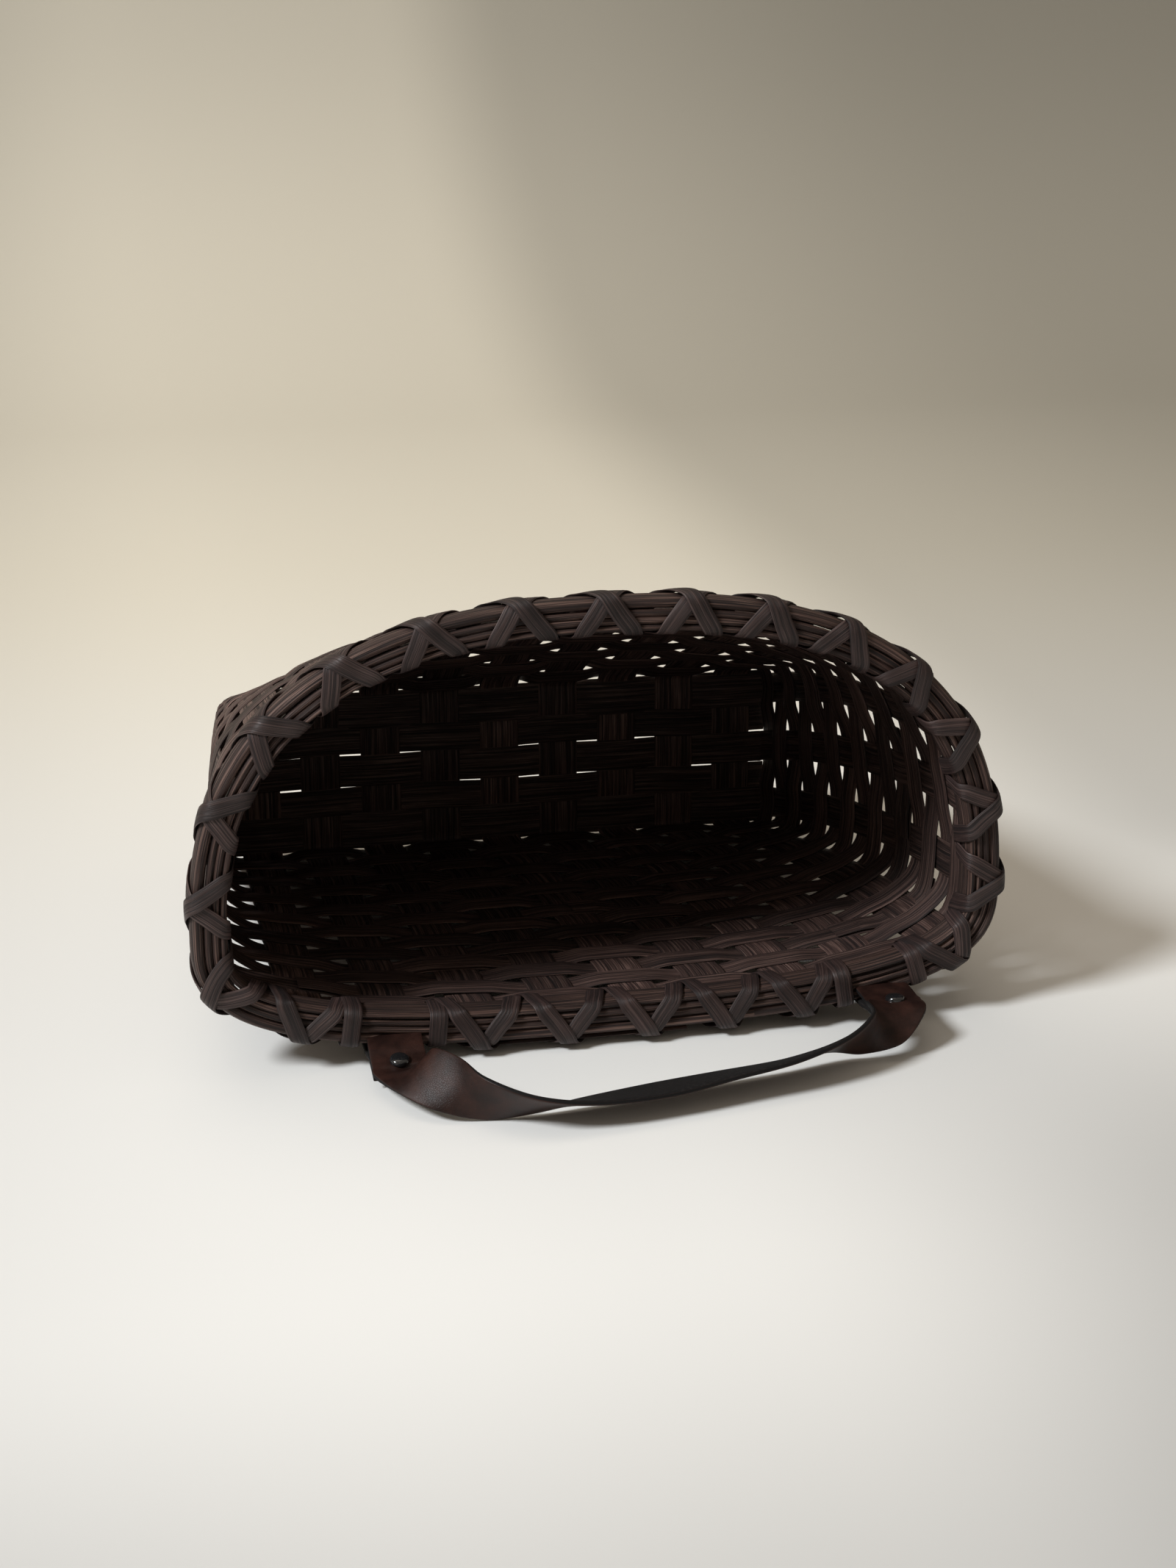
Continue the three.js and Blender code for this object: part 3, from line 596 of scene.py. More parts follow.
# what a tree makes on a mesh of lines or points, as a plain mesh of its own
def growPiece(name, mesh, tree, identifiers, values):
    source = bpy.data.objects.new(mesh.name, mesh)
    scene.collection.objects.link(source)
    modifier = source.modifiers.new(tree.name, "NODES")
    modifier.node_group = tree
    for title, value in values.items():
        modifier[identifiers[title]] = value
    depsgraph = bpy.context.evaluated_depsgraph_get()
    depsgraph.update()
    grown = bpy.data.meshes.new_from_object(
        source.evaluated_get(depsgraph), preserve_all_data_layers=True, depsgraph=depsgraph)
    grown.name = name
    piece = bpy.data.objects.new(name, grown)
    scene.collection.objects.link(piece)
    bpy.data.objects.remove(source)
    bpy.data.meshes.remove(mesh)
    return piece


def smoothMesh(mesh, sharp):
    work = bmesh.new()
    work.from_mesh(mesh)
    bmesh.ops.recalc_face_normals(work, faces=work.faces)
    work.to_mesh(mesh)
    work.free()
    mesh.shade_smooth()
    mesh.set_sharp_from_angle(angle=math.radians(sharp))


# one tree for every flat, half-oval or round strip: the strip's middle line carries its half width
# and half thickness as vectors
ribbonInputs = (
    ("Geometry", "Geometry", None), ("Profile Points", "Int", 14), ("Squareness", "Float", 4.0),
    ("Face Crown", "Float", 0.1), ("Back Crown", "Float", 0.1), ("Steps", "Int", 2),
    ("Finish", "Material", None),
)


def ribbonTree():
    bench, given, identifiers = newTree("reedRibbon", ribbonInputs)
    line = bench.make("GeometryNodeMeshToCurve", {}, {0: given["Geometry"]})
    line = bench.make("GeometryNodeCurveSplineType", {"spline_type": "CATMULL_ROM"}, {"Curve": line})
    line = bench.make("GeometryNodeSetSplineResolution", {}, {0: line, "Resolution": given["Steps"]})
    ring = {"Resolution": given["Profile Points"], "Radius": 1.0}
    circle = bench.make("GeometryNodeCurvePrimitiveCircle", {"mode": "RADIUS"}, ring)
    x, y, z = bench.split(bench.make("GeometryNodeInputPosition", {}, {}))
    power = 2.0 / given["Squareness"]
    wide = x.maths("SIGN") * abs(x) ** power
    thick = y.maths("SIGN") * abs(y) ** power
    upper = y.maths("GREATER_THAN", 0.0)
    crown = given["Back Crown"] + (given["Face Crown"] - given["Back Crown"]) * upper
    thick = thick * (1.0 - wide * wide * crown)

    def read(name, kind="FLOAT_VECTOR"):
        return bench.make("GeometryNodeInputNamedAttribute", {"data_type": kind}, {"Name": name})

    def store(geometry, name, value):
        settings = {"data_type": "FLOAT_VECTOR", "domain": "POINT"}
        sockets = {"Geometry": geometry, "Name": name, "Value": value}
        return bench.make("GeometryNodeStoreNamedAttribute", settings, sockets)

    def add(first, second):
        return bench.make("ShaderNodeVectorMath", {"operation": "ADD"}, {0: first, 1: second})

    def size(way):
        return bench.make("ShaderNodeVectorMath", {"operation": "LENGTH"}, {0: way}, "Value")

    circle = store(circle, "profile", bench.join(wide, thick, 0.0))
    hull = {"Curve": line, "Profile Curve": circle, "Fill Caps": True}
    tube = bench.make("GeometryNodeCurveToMesh", {}, hull)
    wide, thick, z = bench.split(read("profile"))
    across, facing = read("across"), read("facing")
    place = add(add(read("spot"), bench.tint(across, wide)), bench.tint(facing, thick))
    tube = bench.make("GeometryNodeSetPosition", {}, {"Geometry": tube, "Position": place})
    tube = store(tube, "reed", bench.join(read("run", "FLOAT"), wide * size(across), thick * size(facing)))
    endTree(bench, tube, given["Finish"])
    return bench.tree, identifiers


ribbons, ribbonIdentifiers = ribbonTree()
sectionNames = ("Profile Points", "Squareness", "Face Crown", "Back Crown", "Steps")


def strip(centre, across, facing, tone):
    return {"centre": centre, "across": across, "facing": facing, "tone": tone}


# strips given in the basket's own millimetres become one plain mesh in the row frame
def layStrips(name, strips, finish, section, sharp=48.0):
    spots = [settle(s["centre"]) for s in strips]
    edges, first = [], 0
    for spot in spots:
        edges += [(first + n, first + n + 1) for n in range(len(spot) - 1)]
        first += len(spot)
    mesh = bpy.data.meshes.new(name + "Lines")
    mesh.from_pydata(np.concatenate(spots).tolist(), edges, [])
    storeValues(mesh, "spot", np.concatenate(spots))
    for key in ("across", "facing"):
        storeValues(mesh, key, np.concatenate([settle(s[key], True) for s in strips]))
    steps = [np.linalg.norm(np.diff(spot, axis=0), axis=1) for spot in spots]
    storeValues(mesh, "run", np.concatenate([np.concatenate([[0], np.cumsum(step)]) for step in steps]))
    storeValues(mesh, "tone", np.concatenate([np.full(len(s["centre"]), s["tone"]) for s in strips]))
    values = dict(zip(sectionNames, section))
    values["Finish"] = finishes[finish]
    piece = growPiece(name, mesh, ribbons, ribbonIdentifiers, values)
    attributes = piece.data.attributes
    for key in ("spot", "across", "facing", "profile", "run"):
        if attributes.get(key):
            attributes.remove(attributes[key])
    smoothMesh(piece.data, sharp)
    return piece


def onBasket(piece, nodes):
    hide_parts(*nodes)
    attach(piece, "basket")


# a strip's face points away from the wall
def faceAway(centre, across, away):
    facing = unit(np.cross(np.gradient(centre, axis=0), across))
    return facing * np.sign(np.sum(facing * away, 1))[:, None]


# weavers: each row goes over one stake and under the next, and its shaved ends lie on each other
weaver = {
    "rows": 15, "firstStart": 16.2, "pitch": 13.2, "width": 13.7, "leastWidth": 0.965, "thick": 1.2,
    "swing": 0.86, "nearGap": 1.3, "nearRows": 4, "rimStart": 3.4, "rimWidth": 9.1, "rimSway": 0.4,
    "drift": 0.25, "wave": 0.28, "ripple": 0.16, "overlap": 5.0, "endThick": 0.35, "endTaper": 1.5,
    "groupRows": 4, "section": (14, 4.5, 0.25, 0.25, 2), "seed": 11,
}


def weaveOut(share, parity, swing):
    nearest = np.floor((share - 0.5) / 3 + 0.5)
    side = np.where((nearest.astype(int) + parity) % 2 == 0, 1.0, -1.0)
    away = np.abs(share - stakeShare(nearest))
    return swing * side * (1 - 2 * ease((away - 0.4) / 2.2))


def weaverStrip(row, look, dice):
    underRim = row < 0
    if underRim:
        width = look["rimWidth"]
        middle = look["rimStart"] + width / 2
    else:
        nearGap = look["nearGap"] * max(0.0, 1 - row / look["nearRows"])
        width = look["width"] * dice.uniform(look["leastWidth"], 1.0) - nearGap
        middle = look["firstStart"] + row * look["pitch"] + look["width"] / 2
    first = stakeShare(int(dice.integers(0, stakeCount)))
    share = first + np.arange(0, guideCount + look["overlap"] + 0.01, 0.5)
    drift = dice.uniform(-look["drift"], look["drift"])
    waves = share * 2 * math.pi / guideCount * dice.integers(2, 6) + dice.uniform(0, 6)
    ripples = share * dice.uniform(0.8, 1.6) + dice.uniform(0, 6)
    sway = drift + look["wave"] * np.sin(waves) + look["ripple"] * np.sin(ripples)
    middle = middle + sway * (look["rimSway"] if underRim else 1.0)
    gone = share - share[0]
    under = np.where(gone < look["overlap"] + 2, -1.0, 0.0) * (1 - ease((gone - look["overlap"]) / 2))
    layer = under + ease((gone - guideCount + 2) / 2)
    out = weaveOut(share, 1 if underRim else row, look["swing"]) + layer * look["thick"] * 0.5
    centre = wallSpot(share, middle, out)[0]
    low = wallSpot(share, middle - width / 2, out)[0]
    high, away = wallSpot(share, middle + width / 2, out)
    across = (high - low) / 2
    ends = np.minimum(gone, share[-1] - share)
    thick = look["thick"] * (look["endThick"] + (1 - look["endThick"]) * ease(ends / look["endTaper"]))
    return strip(centre, across, faceAway(centre, across, away) * thick[:, None] / 2, dice.uniform(0, 1))


weaverDice = np.random.default_rng(weaver["seed"])
weaverStrips = [weaverStrip(row, weaver, weaverDice) for row in range(-1, weaver["rows"])]
weaverNodes = ["rim_row_weaver"] + [f"weaver_row_{n:02d}" for n in range(1, weaver["rows"] + 1)]
for first in range(0, len(weaverStrips), weaver["groupRows"]):
    rows = slice(first, first + weaver["groupRows"])
    name = f"weaverRows{first // weaver['groupRows'] + 1}"
    onBasket(layStrips(name, weaverStrips[rows], "reed", weaver["section"]), weaverNodes[rows])
print("weavers laid")

# stakes: up the back, over the base and up the front, or from side to side; fillers lie in the base's slits
stake = {
    "top": 3.1, "thick": 1.25, "sway": 0.48, "swayStop": 9.0,
    "wallFirst": 14.0, "wallStep": 6.43, "wallStop": 8.0,
    "bend": 2.4, "bendStart": 1.6, "bendEnd": 0.75, "bendIn": 0.22,
    "cornerDip": 0.8, "cornerRound": 2.0, "cornerFlat": 3.0,
    "crossLift": 0.6, "crossInset": 7.0, "crossPoints": 20,
    "lift": 0.75, "sidePoints": 33, "sideExtra": 0.3, "edgeShift": 0.9, "edgeExtra": 2.5,
    "fillerWidth": 12.45, "fillerDrift": 0.45, "fillerReach": 15.3, "fillerThick": 1.05, "fillerLift": 0.65,
    "fillerPoints": 57, "groupStakes": 3, "section": (14, 4.5, 0.2, 0.2, 2), "seed": 5,
}
depth, baseSide = wallShape["depth"], wallShape["baseHalfWidth"]
baseLow, baseHigh = wallShape["backHeight"], wallShape["backHeight"] + wallShape["baseHeight"]


def wallStakeLine(wall, n, look):
    j = stakeWalls.index((wall, n))
    bendStart, bendEnd = look["bend"] * look["bendStart"], look["bend"] * look["bendEnd"]
    straight = np.arange(look["wallFirst"], depth - look["wallStop"], look["wallStep"])
    y = np.concatenate([[look["top"]], straight, [depth - bendStart, depth - bendEnd]])
    row = (y - weaver["firstStart"]) / weaver["pitch"]
    woven = (y > look["wallFirst"]) * (y < depth - look["swayStop"])
    sway = look["sway"] * np.cos(math.pi * (row - 0.5)) * (-1 if j % 2 == 0 else 1) * woven
    share = np.full(len(y), stakeShare(j))
    centre, away = wallSpot(share, y, sway)
    low = wallSpot(share - 0.5, y, sway)[0]
    high = wallSpot(share + 0.5, y, sway)[0]
    pull = ease((y - depth + bendStart) / (bendStart - bendEnd)) * look["bend"] * look["bendIn"]
    return centre - away * pull[:, None], (high - low) / 2, away


def joinStake(walls, n, base, sideWay, width, look, tone):
    first, last = (wallStakeLine(wall, n, look) for wall in walls)
    baseAcross = np.tile(np.array(sideWay) * width / 2, (len(base), 1))
    baseAway = np.tile(np.array((0.0, 1.0, 0.0)), (len(base), 1))
    centre = np.concatenate([first[0], base, last[0][::-1]])
    across = np.concatenate([first[1], baseAcross, last[1][::-1]])
    for at in range(1, len(across)):
        if np.dot(across[at], across[at - 1]) < 0:
            across[at] = -across[at]
    away = np.concatenate([first[2], baseAway, last[2][::-1]])
    return strip(centre, across, faceAway(centre, across, away) * look["thick"] / 2, tone)


# over one crosswise stake of the base and under the next
def baseWeave(x, parity):
    reach = wallShape["crossPitch"]
    return sum(hump(x - crossX(i), reach) * (1 if i % 2 == parity else -1) for i in range(crossCount))


def crossStake(i, look, tone):
    dip, bend, inset = look["cornerDip"], look["bend"], look["crossInset"]
    flat = np.linspace(baseLow + inset, baseHigh - inset, look["crossPoints"])
    z = np.concatenate([[baseLow + dip, baseLow + bend], flat, [baseHigh - bend, baseHigh - dip]])
    wave = look["crossLift"] * np.cos(2 * math.pi * (z - sideZ(middleSide)) / wallShape["sidePitch"])
    wave = wave * (-1 if i % 2 == 1 else 1)
    toCorner = np.minimum(z - baseLow, baseHigh - z)
    y = depth + np.where(toCorner < look["cornerFlat"], 0.0, wave)
    y = y - np.where(toCorner < look["cornerRound"], dip, 0.0)
    base = np.stack([np.full(len(z), crossX(i)), y, z], 1)
    return joinStake(("back", "front"), i, base, (1, 0, 0), wallShape["stakeWidth"], look, tone)


def sideStake(k, look, tone):
    dip, bend = look["cornerDip"], look["bend"]
    flat = np.linspace(crossX(0), crossX(crossCount - 1), look["sidePoints"])
    x = np.concatenate([[-baseSide + dip, -baseSide + bend], flat, [baseSide - bend, baseSide - dip]])
    nearCorner = np.abs(x) > baseSide - look["cornerRound"]
    y = depth + np.where(nearCorner, -dip, look["lift"] * baseWeave(x, 1))
    base = np.stack([x, y, np.full(len(x), sideZ(k) + (k - middleSide) * look["edgeShift"])], 1)
    width = wallShape["sideWidth"] + look["sideExtra"] + abs(k - middleSide) * look["edgeExtra"]
    return joinStake(("left", "right"), k, base, (0, 0, 1), width, look, tone)


def baseFiller(k, look, dice):
    reach = look["fillerReach"]
    x = np.linspace(crossX(0) - reach, crossX(crossCount - 1) + reach, look["fillerPoints"])
    drift = np.sin(x * 0.061 + dice.uniform(0, 6)) + 0.6 * np.sin(x * 0.13 + dice.uniform(0, 6))
    z = (sideZ(k) + sideZ(k + 1)) / 2 + (k - 0.5) * look["edgeShift"] + look["fillerDrift"] * drift
    points = np.stack([x, depth + look["fillerLift"] * baseWeave(x, 0), z], 1)
    across = np.tile(np.array((0, 0, look["fillerWidth"] / 2)), (len(x), 1))
    facing = faceAway(points, across, np.array((0.0, 1.0, 0.0))) * look["fillerThick"] / 2
    return strip(points, across, facing, dice.uniform(0, 1))


# the second of two draws
def stakeTone(dice):
    return dice.uniform(0, 1, 2)[1]


stakeDice = np.random.default_rng(stake["seed"])
crossStrips = [crossStake(i, stake, stakeTone(stakeDice)) for i in range(crossCount)]
sideStrips = [sideStake(k, stake, stakeTone(stakeDice)) for k in range(sideCount)]
fillerStrips = [baseFiller(k, stake, stakeDice) for k in range(sideCount - 1)]
for first in range(0, crossCount, stake["groupStakes"]):
    group = range(first, first + stake["groupStakes"])
    name = f"crossStakes{first // stake['groupStakes'] + 1}"
    piece = layStrips(name, [crossStrips[i] for i in group], "reed", stake["section"])
    onBasket(piece, [f"cross_stake_{i + 1}" for i in group])
sideStakes = layStrips("sideStakes", sideStrips, "reed", stake["section"])
onBasket(sideStakes, [f"side_stake_{k + 1}" for k in range(sideCount)])
baseFillers = layStrips("baseFillers", fillerStrips, "reed", stake["section"])
onBasket(baseFillers, ["base_filler_1", "base_filler_2"])
print("stakes laid")

# rim: half-oval strip outside, flatter strip inside, two round fillers between them
rim = {
    "width": 12.7, "outerThick": 5.0, "innerThick": 3.0, "inner": 2.55, "wander": 0.12,
    "fillerRadius": 1.34, "fillerOut": 1.3, "fillerFront": 1.5, "fillerWander": 0.10,
    "lapFrom": -43.0, "lapTo": 29.0, "lapPoints": 40, "lapOut": 8.15, "lapThick": 1.5, "lapHalfWide": 4.6,
    "outerSection": (20, 3.2, 0.5, 0.05, 2), "innerSection": (20, 3.2, 0.45, 0.05, 2),
    "fillerSection": (12, 2.0, 0.0, 0.0, 2), "seed": 3,
}
rimDice = np.random.default_rng(rim["seed"])


def rimStrip(out, y, halfWide, facing, tone, first, wander):
    share = first + np.arange(0, guideCount + 0.01, 0.5)
    sway = np.sin(share * 0.37 + rimDice.uniform(0, 6)) + 0.6 * np.sin(share * 0.93 + rimDice.uniform(0, 6))
    sway *= wander * ease(np.minimum(share - share[0], share[-1] - share) / 3)
    centre = wallSpot(share, y + sway, out)[0]
    low = wallSpot(share, y + sway - halfWide, out)[0]
    high, away = wallSpot(share, y + sway + halfWide, out)
    return strip(centre, (high - low) / 2, away * facing, tone)


# the outer strip's own end lies on it along the back
def lapStrip(look):
    share = shareOfRim(np.linspace(look["lapFrom"], look["lapTo"], look["lapPoints"]))
    half = look["width"] / 2
    centre, away = wallSpot(share, half, look["lapOut"])
    low, high = (wallSpot(share, half + side * look["lapHalfWide"], look["lapOut"])[0] for side in (-1, 1))
    taper = (0.35 + 0.65 * ease(np.linspace(0, 6, look["lapPoints"])))[:, None] * look["lapThick"] / 2
    return strip(centre, (high - low) / 2, away * taper, 0.62)


rimHalf, outerHalf, innerHalf = (rim[key] / 2 for key in ("width", "outerThick", "innerThick"))
outerStrip = rimStrip(rim["inner"] + outerHalf, rimHalf, rimHalf, outerHalf, 0.55, 4.2, rim["wander"])
innerStrip = rimStrip(-rim["inner"] - innerHalf, rimHalf, rimHalf, -innerHalf, 0.4, 30.4, rim["wander"])
fillers = []
for out, tone, first in ((rim["fillerOut"], 0.3, 12.5), (-rim["fillerOut"], 0.75, 50.5)):
    radius = rim["fillerRadius"]
    fillers.append(rimStrip(out, rim["fillerFront"], radius, radius, tone, first, rim["fillerWander"]))
outerRim = layStrips("outerRim", [outerStrip, lapStrip(rim)], "rim_reed", rim["outerSection"])
onBasket(outerRim, ["outer_rim_strip"])
innerRim = layStrips("innerRim", [innerStrip], "rim_reed", rim["innerSection"])
onBasket(innerRim, ["inner_rim_strip"])
rimFillers = layStrips("rimFillers", fillers, "rim_reed", rim["fillerSection"])
onBasket(rimFillers, ["rim_filler_outer", "rim_filler_inner"])
print("rim laid")

# lashing: two strands wind round the rim in opposite ways, through the gaps under it, and cross at each stake
lash = {
    "halfWide": 3.3, "thick": 1.1, "leftTab": 21, "rightTab": 3,
    "lift": 1.1, "crossAt": 0.5, "crossReach": 0.24, "gapReach": 0.2, "endLift": 0.55,
    "floorLift": 1.35, "floorAt": 0.64, "section": (12, 3.6, 0.3, 0.2, 4), "seed": 8,
}
# share of the way to the next gap, out from the wall, y from the mouth
lashTurn = [
    (0.00, 0.6, 14.1), (0.05, -3.8, 13.6), (0.10, -5.95, 11.0), (0.14, -6.2, 6.4), (0.19, -5.9, 1.5),
    (0.225, -4.0, -0.65), (0.345, 0.8, -0.75), (0.45, 5.3, -0.55), (0.52, 7.3, 1.4), (0.62, 8.15, 6.4),
    (0.72, 7.35, 11.0), (0.84, 4.9, 13.6),
]


# the over strand rises where it crosses the under strand, and both rise where the rim lies on the floor
def lashLift(part, out, over, onFloor, look):
    lift = 0.0
    if over:
        crossing = hump(part - look["crossAt"], look["crossReach"])
        lift = look["lift"] * max(crossing, hump(part, look["gapReach"]), hump(1 - part, look["gapReach"]))
    if onFloor and out > 4:
        lift = lift + look["floorLift"] * hump(part - look["floorAt"], look["crossReach"])
    return lift


def lashPath(gaps, over, onFloor, look, dice):
    stops = [rimLengthAt(gapShare(gap)) for gap in gaps]
    path = []
    for a, b in zip(stops, stops[1:]):
        wobble, stretch = dice.uniform(-0.02, 0.02), dice.uniform(0.97, 1.03)
        for part, out, y in lashTurn:
            loose = 1.0 + 0.05 * dice.uniform(-1, 1)
            along = a + (b - a) * (part + wobble * math.sin(math.pi * part))
            slack = stretch if out > 6 else loose if out > -5 else 1.0
            path.append((along, out * slack, y, lashLift(part, out, over, onFloor, look)))
    way = 1 if stops[-1] > stops[0] else -1
    for part, out, y in lashTurn[:-1]:
        path.append((stops[-1] + way * part, out, y, look["endLift"] if over else 0.0))
    return np.array(path).T


def lashStrand(firstGap, lastGap, over, look, dice):
    gaps = list(range(firstGap, lastGap + 1))
    if not over:
        gaps.reverse()
    lengths, outs, ys, lifts = lashPath(gaps, over, firstGap == look["leftTab"], look, dice)
    # the strand lies flat on the rim, so its face points away from the middle of the rim's section
    faceOut, faceY = np.gradient(ys), -np.gradient(outs)
    size = np.hypot(faceOut, faceY)
    faceOut, faceY = faceOut / size, faceY / size
    turn = np.sign(faceOut * (outs - 1.0) + faceY * (ys - rimHalf))
    faceOut, faceY = faceOut * turn, faceY * turn
    centre, away = wallSpot(shareOfRim(lengths), ys + faceY * lifts, outs + faceOut * lifts)
    facing = away * faceOut[:, None] + np.array([0, 1, 0]) * faceY[:, None]
    along = unit(np.gradient(centre, axis=0))
    across = unit(np.cross(along, facing))
    facing = unit(np.cross(across, along))
    wide = look["halfWide"] * dice.uniform(0.97, 1.03)
    return strip(centre, across * wide, facing * look["thick"] / 2, dice.uniform(0.2, 0.9))


lashDice = np.random.default_rng(lash["seed"])
lashRuns = (
    ("lashingFront", "lashing_front", lash["rightTab"], lash["leftTab"] - 1),
    ("lashingBack", "lashing_back", lash["leftTab"], stakeCount + lash["rightTab"] - 1),
)
for name, node, firstGap, lastGap in lashRuns:
    strands = [lashStrand(firstGap, lastGap, over, lash, lashDice) for over in (False, True)]
    onBasket(layStrips(name, strands, "lashing", lash["section"]), [node + "_under", node + "_over"])
print("lashing laid")

# leather strap: looped round the outer rim strip at both ends, riveted to itself, its middle twisted over
strap = {
    "width": 19.5, "thick": 2.0, "leftStake": 21, "rightStake": 3, "leftSlope": 12.0, "rightSlope": -6.0,
    "loopInner": 3.55, "loopOuter": 8.85, "loopRear": 14.0, "loopRows": (0.5, 6.0, 11.0),
    "loopTurns": (0.6, 1.2, 1.95, 2.55), "foldY": -4.05, "foldReach": 1.5, "foldHalf": 1.75,
    "tabStart": 2, "layer": 1.15, "tailSteps": (12.6, 9.0, 5.0),
    "leftSteps": (4.5, 9.5, 14.0), "rightSteps": (4.5, 8.5, 12.5),
    "reach": 46.0, "rise": 11.6, "lieStart": 16.45, "bendBefore": 0.0042, "bendAfter": 0.0002,
    "section": (28, 9.0, 0.04, 0.04, 14), "sharp": 60.0,
}
# share of the way across, reach from the folds, height over the floor, the way to the strap's edge
strapRoute = [
    (0.02, 0.63, 1.10, (0.6, 0.5, 0.6)), (0.07, 0.85, 1.05, (0.5, 0.3, 0.8)),
    (0.13, 1.03, 0.85, (0, -0.4, 0.9)), (0.22, 1.13, 0.70, (0, -0.8, 0.6)),
    (0.33, 1.12, 0.64, (0.1, -0.9, 0.3)), (0.47, 1.04, 0.64, (0.15, -0.95, 0.2)),
    (0.60, 0.94, 0.71, (0.15, -0.95, 0.3)), (0.73, 0.85, 0.80, (0.15, -0.9, 0.4)),
    (0.84, 0.73, 0.99, (0.1, -0.8, 0.55)), (0.91, 0.62, 1.06, (-0.3, -0.5, 0.75)),
    (0.955, 0.50, 1.14, (-0.75, 0, 0.4)),
]
loopMiddle = (strap["loopInner"] + strap["loopOuter"]) / 2
loopHalf = (strap["loopOuter"] - strap["loopInner"]) / 2


def tabFrame(stakeNumber, slope):
    share = shareOfRim(np.array([stakeRim(stakeNumber)]))
    spot = wallSpot(share, 0.0, loopMiddle)[0][0]
    tip = math.radians(slope) + wallShape["lean"]
    return {
        "share": share[0], "fold": np.array([spot[0], strap["foldY"], spot[2]]),
        "run": np.array([0, -math.cos(tip), -math.sin(tip)]),
        "up": np.array([0, -math.sin(tip), math.cos(tip)]),
    }


leftTab = tabFrame(strap["leftStake"], strap["leftSlope"])
rightTab = tabFrame(strap["rightStake"], strap["rightSlope"])
hingeLine = unit(rightTab["fold"] - leftTab["fold"])


# from the tail's end round the outer strip and out again as the upper layer
def tabLine(tab, upperSteps):
    fold, run, up = tab["fold"], tab["run"], tab["up"]

    def rimAt(y, out):
        return wallSpot([tab["share"]], y, out)[0][0]

    def layerAt(step, side):
        return fold + run * (strap["tabStart"] + step) + up * side * strap["layer"]

    points = [layerAt(step, -1) for step in strap["tailSteps"]]
    points.append(fold + run * strap["foldReach"] - up * strap["foldHalf"])
    points += [rimAt(y, strap["loopOuter"]) for y in strap["loopRows"]]
    for turn in strap["loopTurns"]:
        rear = strap["loopRear"] - loopHalf + loopHalf * math.sin(turn)
        points.append(rimAt(rear, loopMiddle + loopHalf * math.cos(turn)))
    points += [rimAt(y, strap["loopInner"]) for y in reversed(strap["loopRows"])]
    points.append(fold + run * strap["foldReach"] + up * strap["foldHalf"])
    return points + [layerAt(step, 1) for step in upperSteps]


def strapStrip():
    points = tabLine(leftTab, strap["leftSteps"])
    sides = [hingeLine] * len(points)
    for across, reach, rise, edge in strapRoute:
        x = (leftTab["fold"] + (rightTab["fold"] - leftTab["fold"]) * across)[0]
        y = strap["foldY"] - reach * strap["reach"]
        floor = (y - strap["lieStart"]) * math.tan(wallShape["lean"])
        points.append(np.array([x, y, floor + rise * strap["rise"]]))
        sides.append(np.array(edge))
    right = tabLine(rightTab, strap["rightSteps"])[::-1]
    points, sides = np.array(points + right), np.array(sides + [-hingeLine] * len(right))
    along = unit(np.gradient(points, axis=0))
    sides = unit(sides - along * np.sum(sides * along, 1)[:, None])
    facing = unit(np.cross(along, sides))
    return strip(points, sides * strap["width"] / 2, facing * strap["thick"] / 2, 0.5)


leatherStrap = layStrips("leatherStrap", [strapStrip()], "leather", strap["section"], strap["sharp"])
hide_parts("handle_strap", "strap_loop_left", "strap_loop_right")
hinge = frame["joints"][0]["pos_m"]
bendStart = (hinge[0], hinge[1] + strap["bendBefore"], hinge[2])
bendEnd = (hinge[0], hinge[1] - strap["bendAfter"], hinge[2])
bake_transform(leatherStrap, "basket", "handle", start=bendStart, end=bendEnd)
print("strap laid")

# rivets: one lathe tree, a dome for each marked point, standing along the point's axis
rivet = {
    "reach": 10.0, "stack": 4.55, "radius": 3.5, "height": 2.0, "segments": 40, "rings": 12, "sharp": 50.0,
}
rivetInputs = (
    ("Geometry", "Geometry", None), ("Radius", "Float", 0.0035), ("Height", "Float", 0.0018),
    ("Segments", "Int", 40), ("Rings", "Int", 12), ("Finish", "Material", None),
)


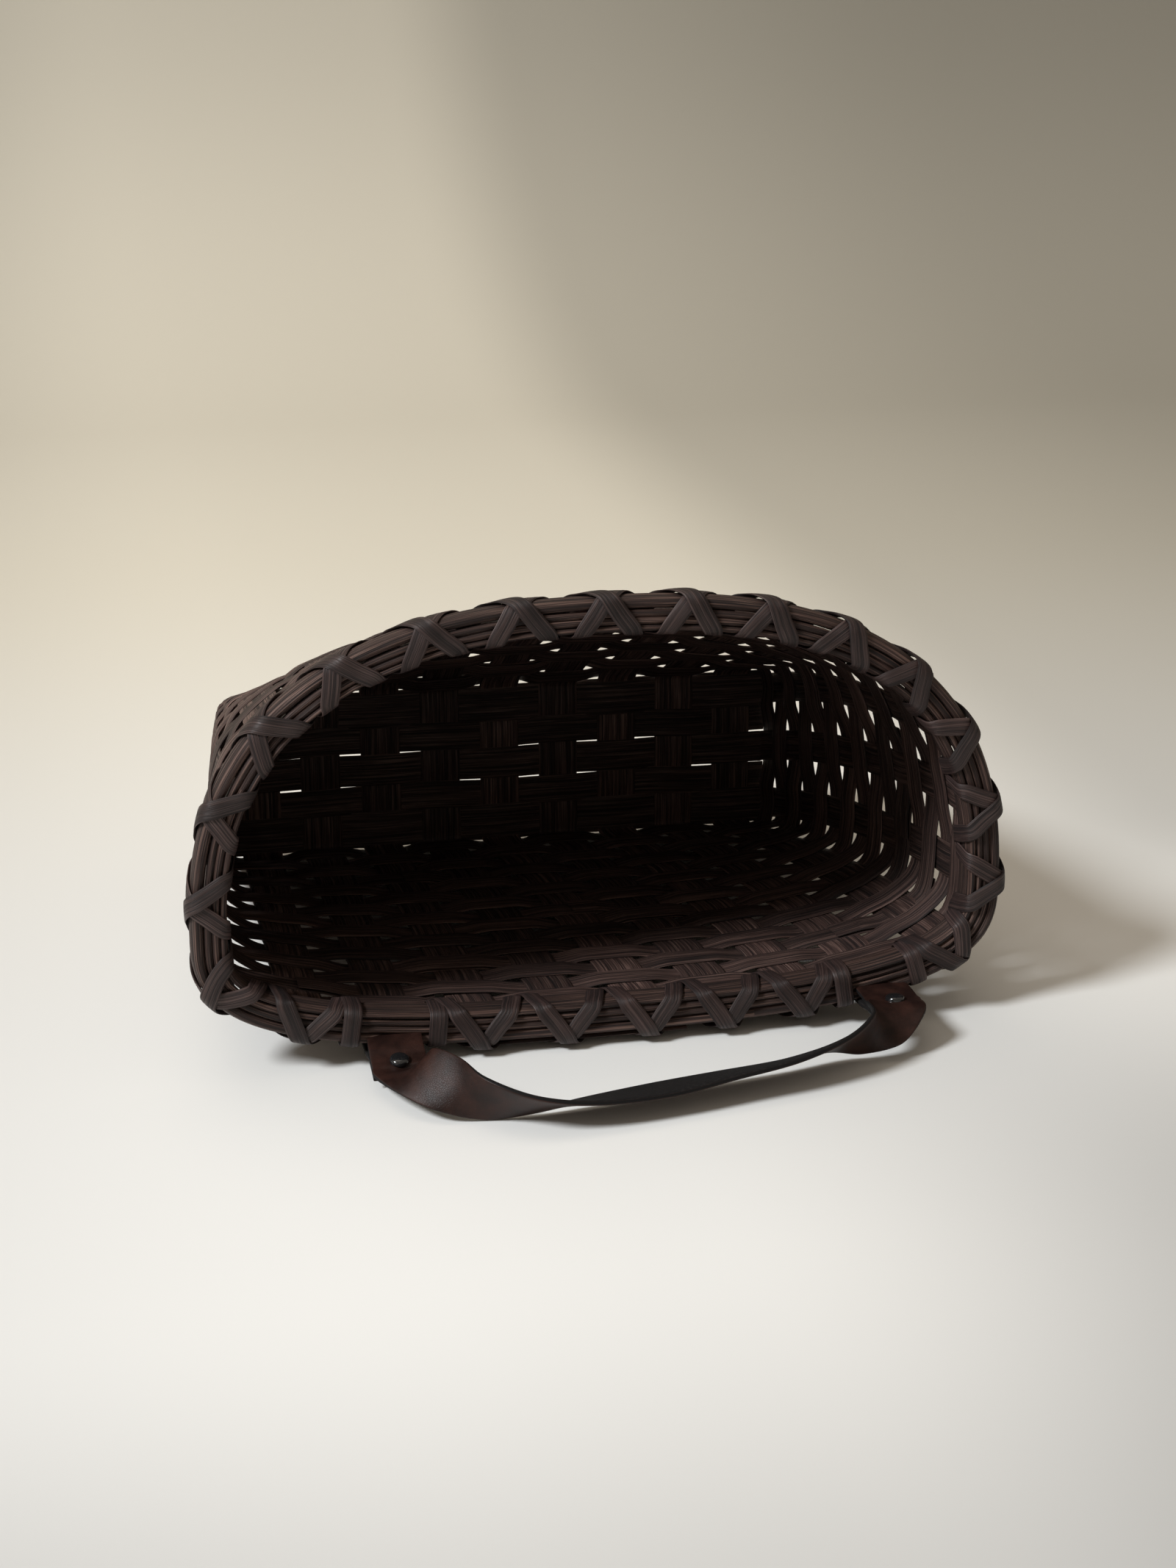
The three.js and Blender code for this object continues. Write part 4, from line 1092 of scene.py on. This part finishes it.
def rivetTree():
    bench, given, identifiers = newTree("rivetDome", rivetInputs)
    size = {"Size X": 1.0, "Size Y": 1.0, "Vertices X": given["Segments"], "Vertices Y": given["Rings"]}
    grid = bench.make("GeometryNodeMeshGrid", {}, size)
    x, y, z = bench.split(bench.make("GeometryNodeInputPosition", {}, {}))
    turn = (x + 0.5) * (2 * math.pi)
    rise = y + 0.5
    slope = (1.0 - rise) * (math.pi / 2)
    ringRadius = slope.maths("SINE") ** 0.8 * given["Radius"]
    dome = slope.maths("COSINE") ** 0.7 * given["Height"] * 0.86
    ringHeight = dome + given["Height"] * 0.14 * (rise * 9.0).maths("MINIMUM", 1.0)
    place = bench.join(turn.maths("COSINE") * ringRadius, turn.maths("SINE") * ringRadius, ringHeight)
    dome = bench.make("GeometryNodeSetPosition", {}, {"Geometry": grid, "Position": place})
    dome = bench.make("GeometryNodeMergeByDistance", {}, {"Geometry": dome, "Distance": 0.00002})
    axis = bench.make("GeometryNodeInputNamedAttribute", {"data_type": "FLOAT_VECTOR"}, {"Name": "axis"})
    lean = bench.make("FunctionNodeAlignRotationToVector", {"axis": "Z"}, {"Vector": axis})
    points = bench.make("GeometryNodeMeshToPoints", {}, {"Mesh": given["Geometry"]})
    sockets = {"Points": points, "Instance": dome, "Rotation": lean}
    endTree(bench, bench.make("GeometryNodeInstanceOnPoints", {}, sockets), given["Finish"])
    return bench.tree, identifiers


def makeRivets(look):
    spots, axes = [], []
    for tab in (leftTab, rightTab):
        for sign in (1, -1):
            spots.append(tab["fold"] + tab["run"] * look["reach"] + tab["up"] * sign * look["stack"] / 2)
            axes.append(tab["up"] * sign)
    mesh = bpy.data.meshes.new("rivetPoints")
    mesh.from_pydata(settle(spots).tolist(), [], [])
    storeValues(mesh, "axis", unit(settle(axes, True)))
    values = {
        "Radius": look["radius"] * mm, "Height": look["height"] * mm,
        "Segments": look["segments"], "Rings": look["rings"], "Finish": finishes["rivet"],
    }
    tree, identifiers = rivetTree()
    piece = growPiece("rivets", mesh, tree, identifiers, values)
    smoothMesh(piece.data, look["sharp"])
    return piece


rivets = makeRivets(rivet)
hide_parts("rivet_cap_left", "rivet_cap_right", "rivet_post_left", "rivet_post_right")
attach(rivets, "handle")
print("rivets set")
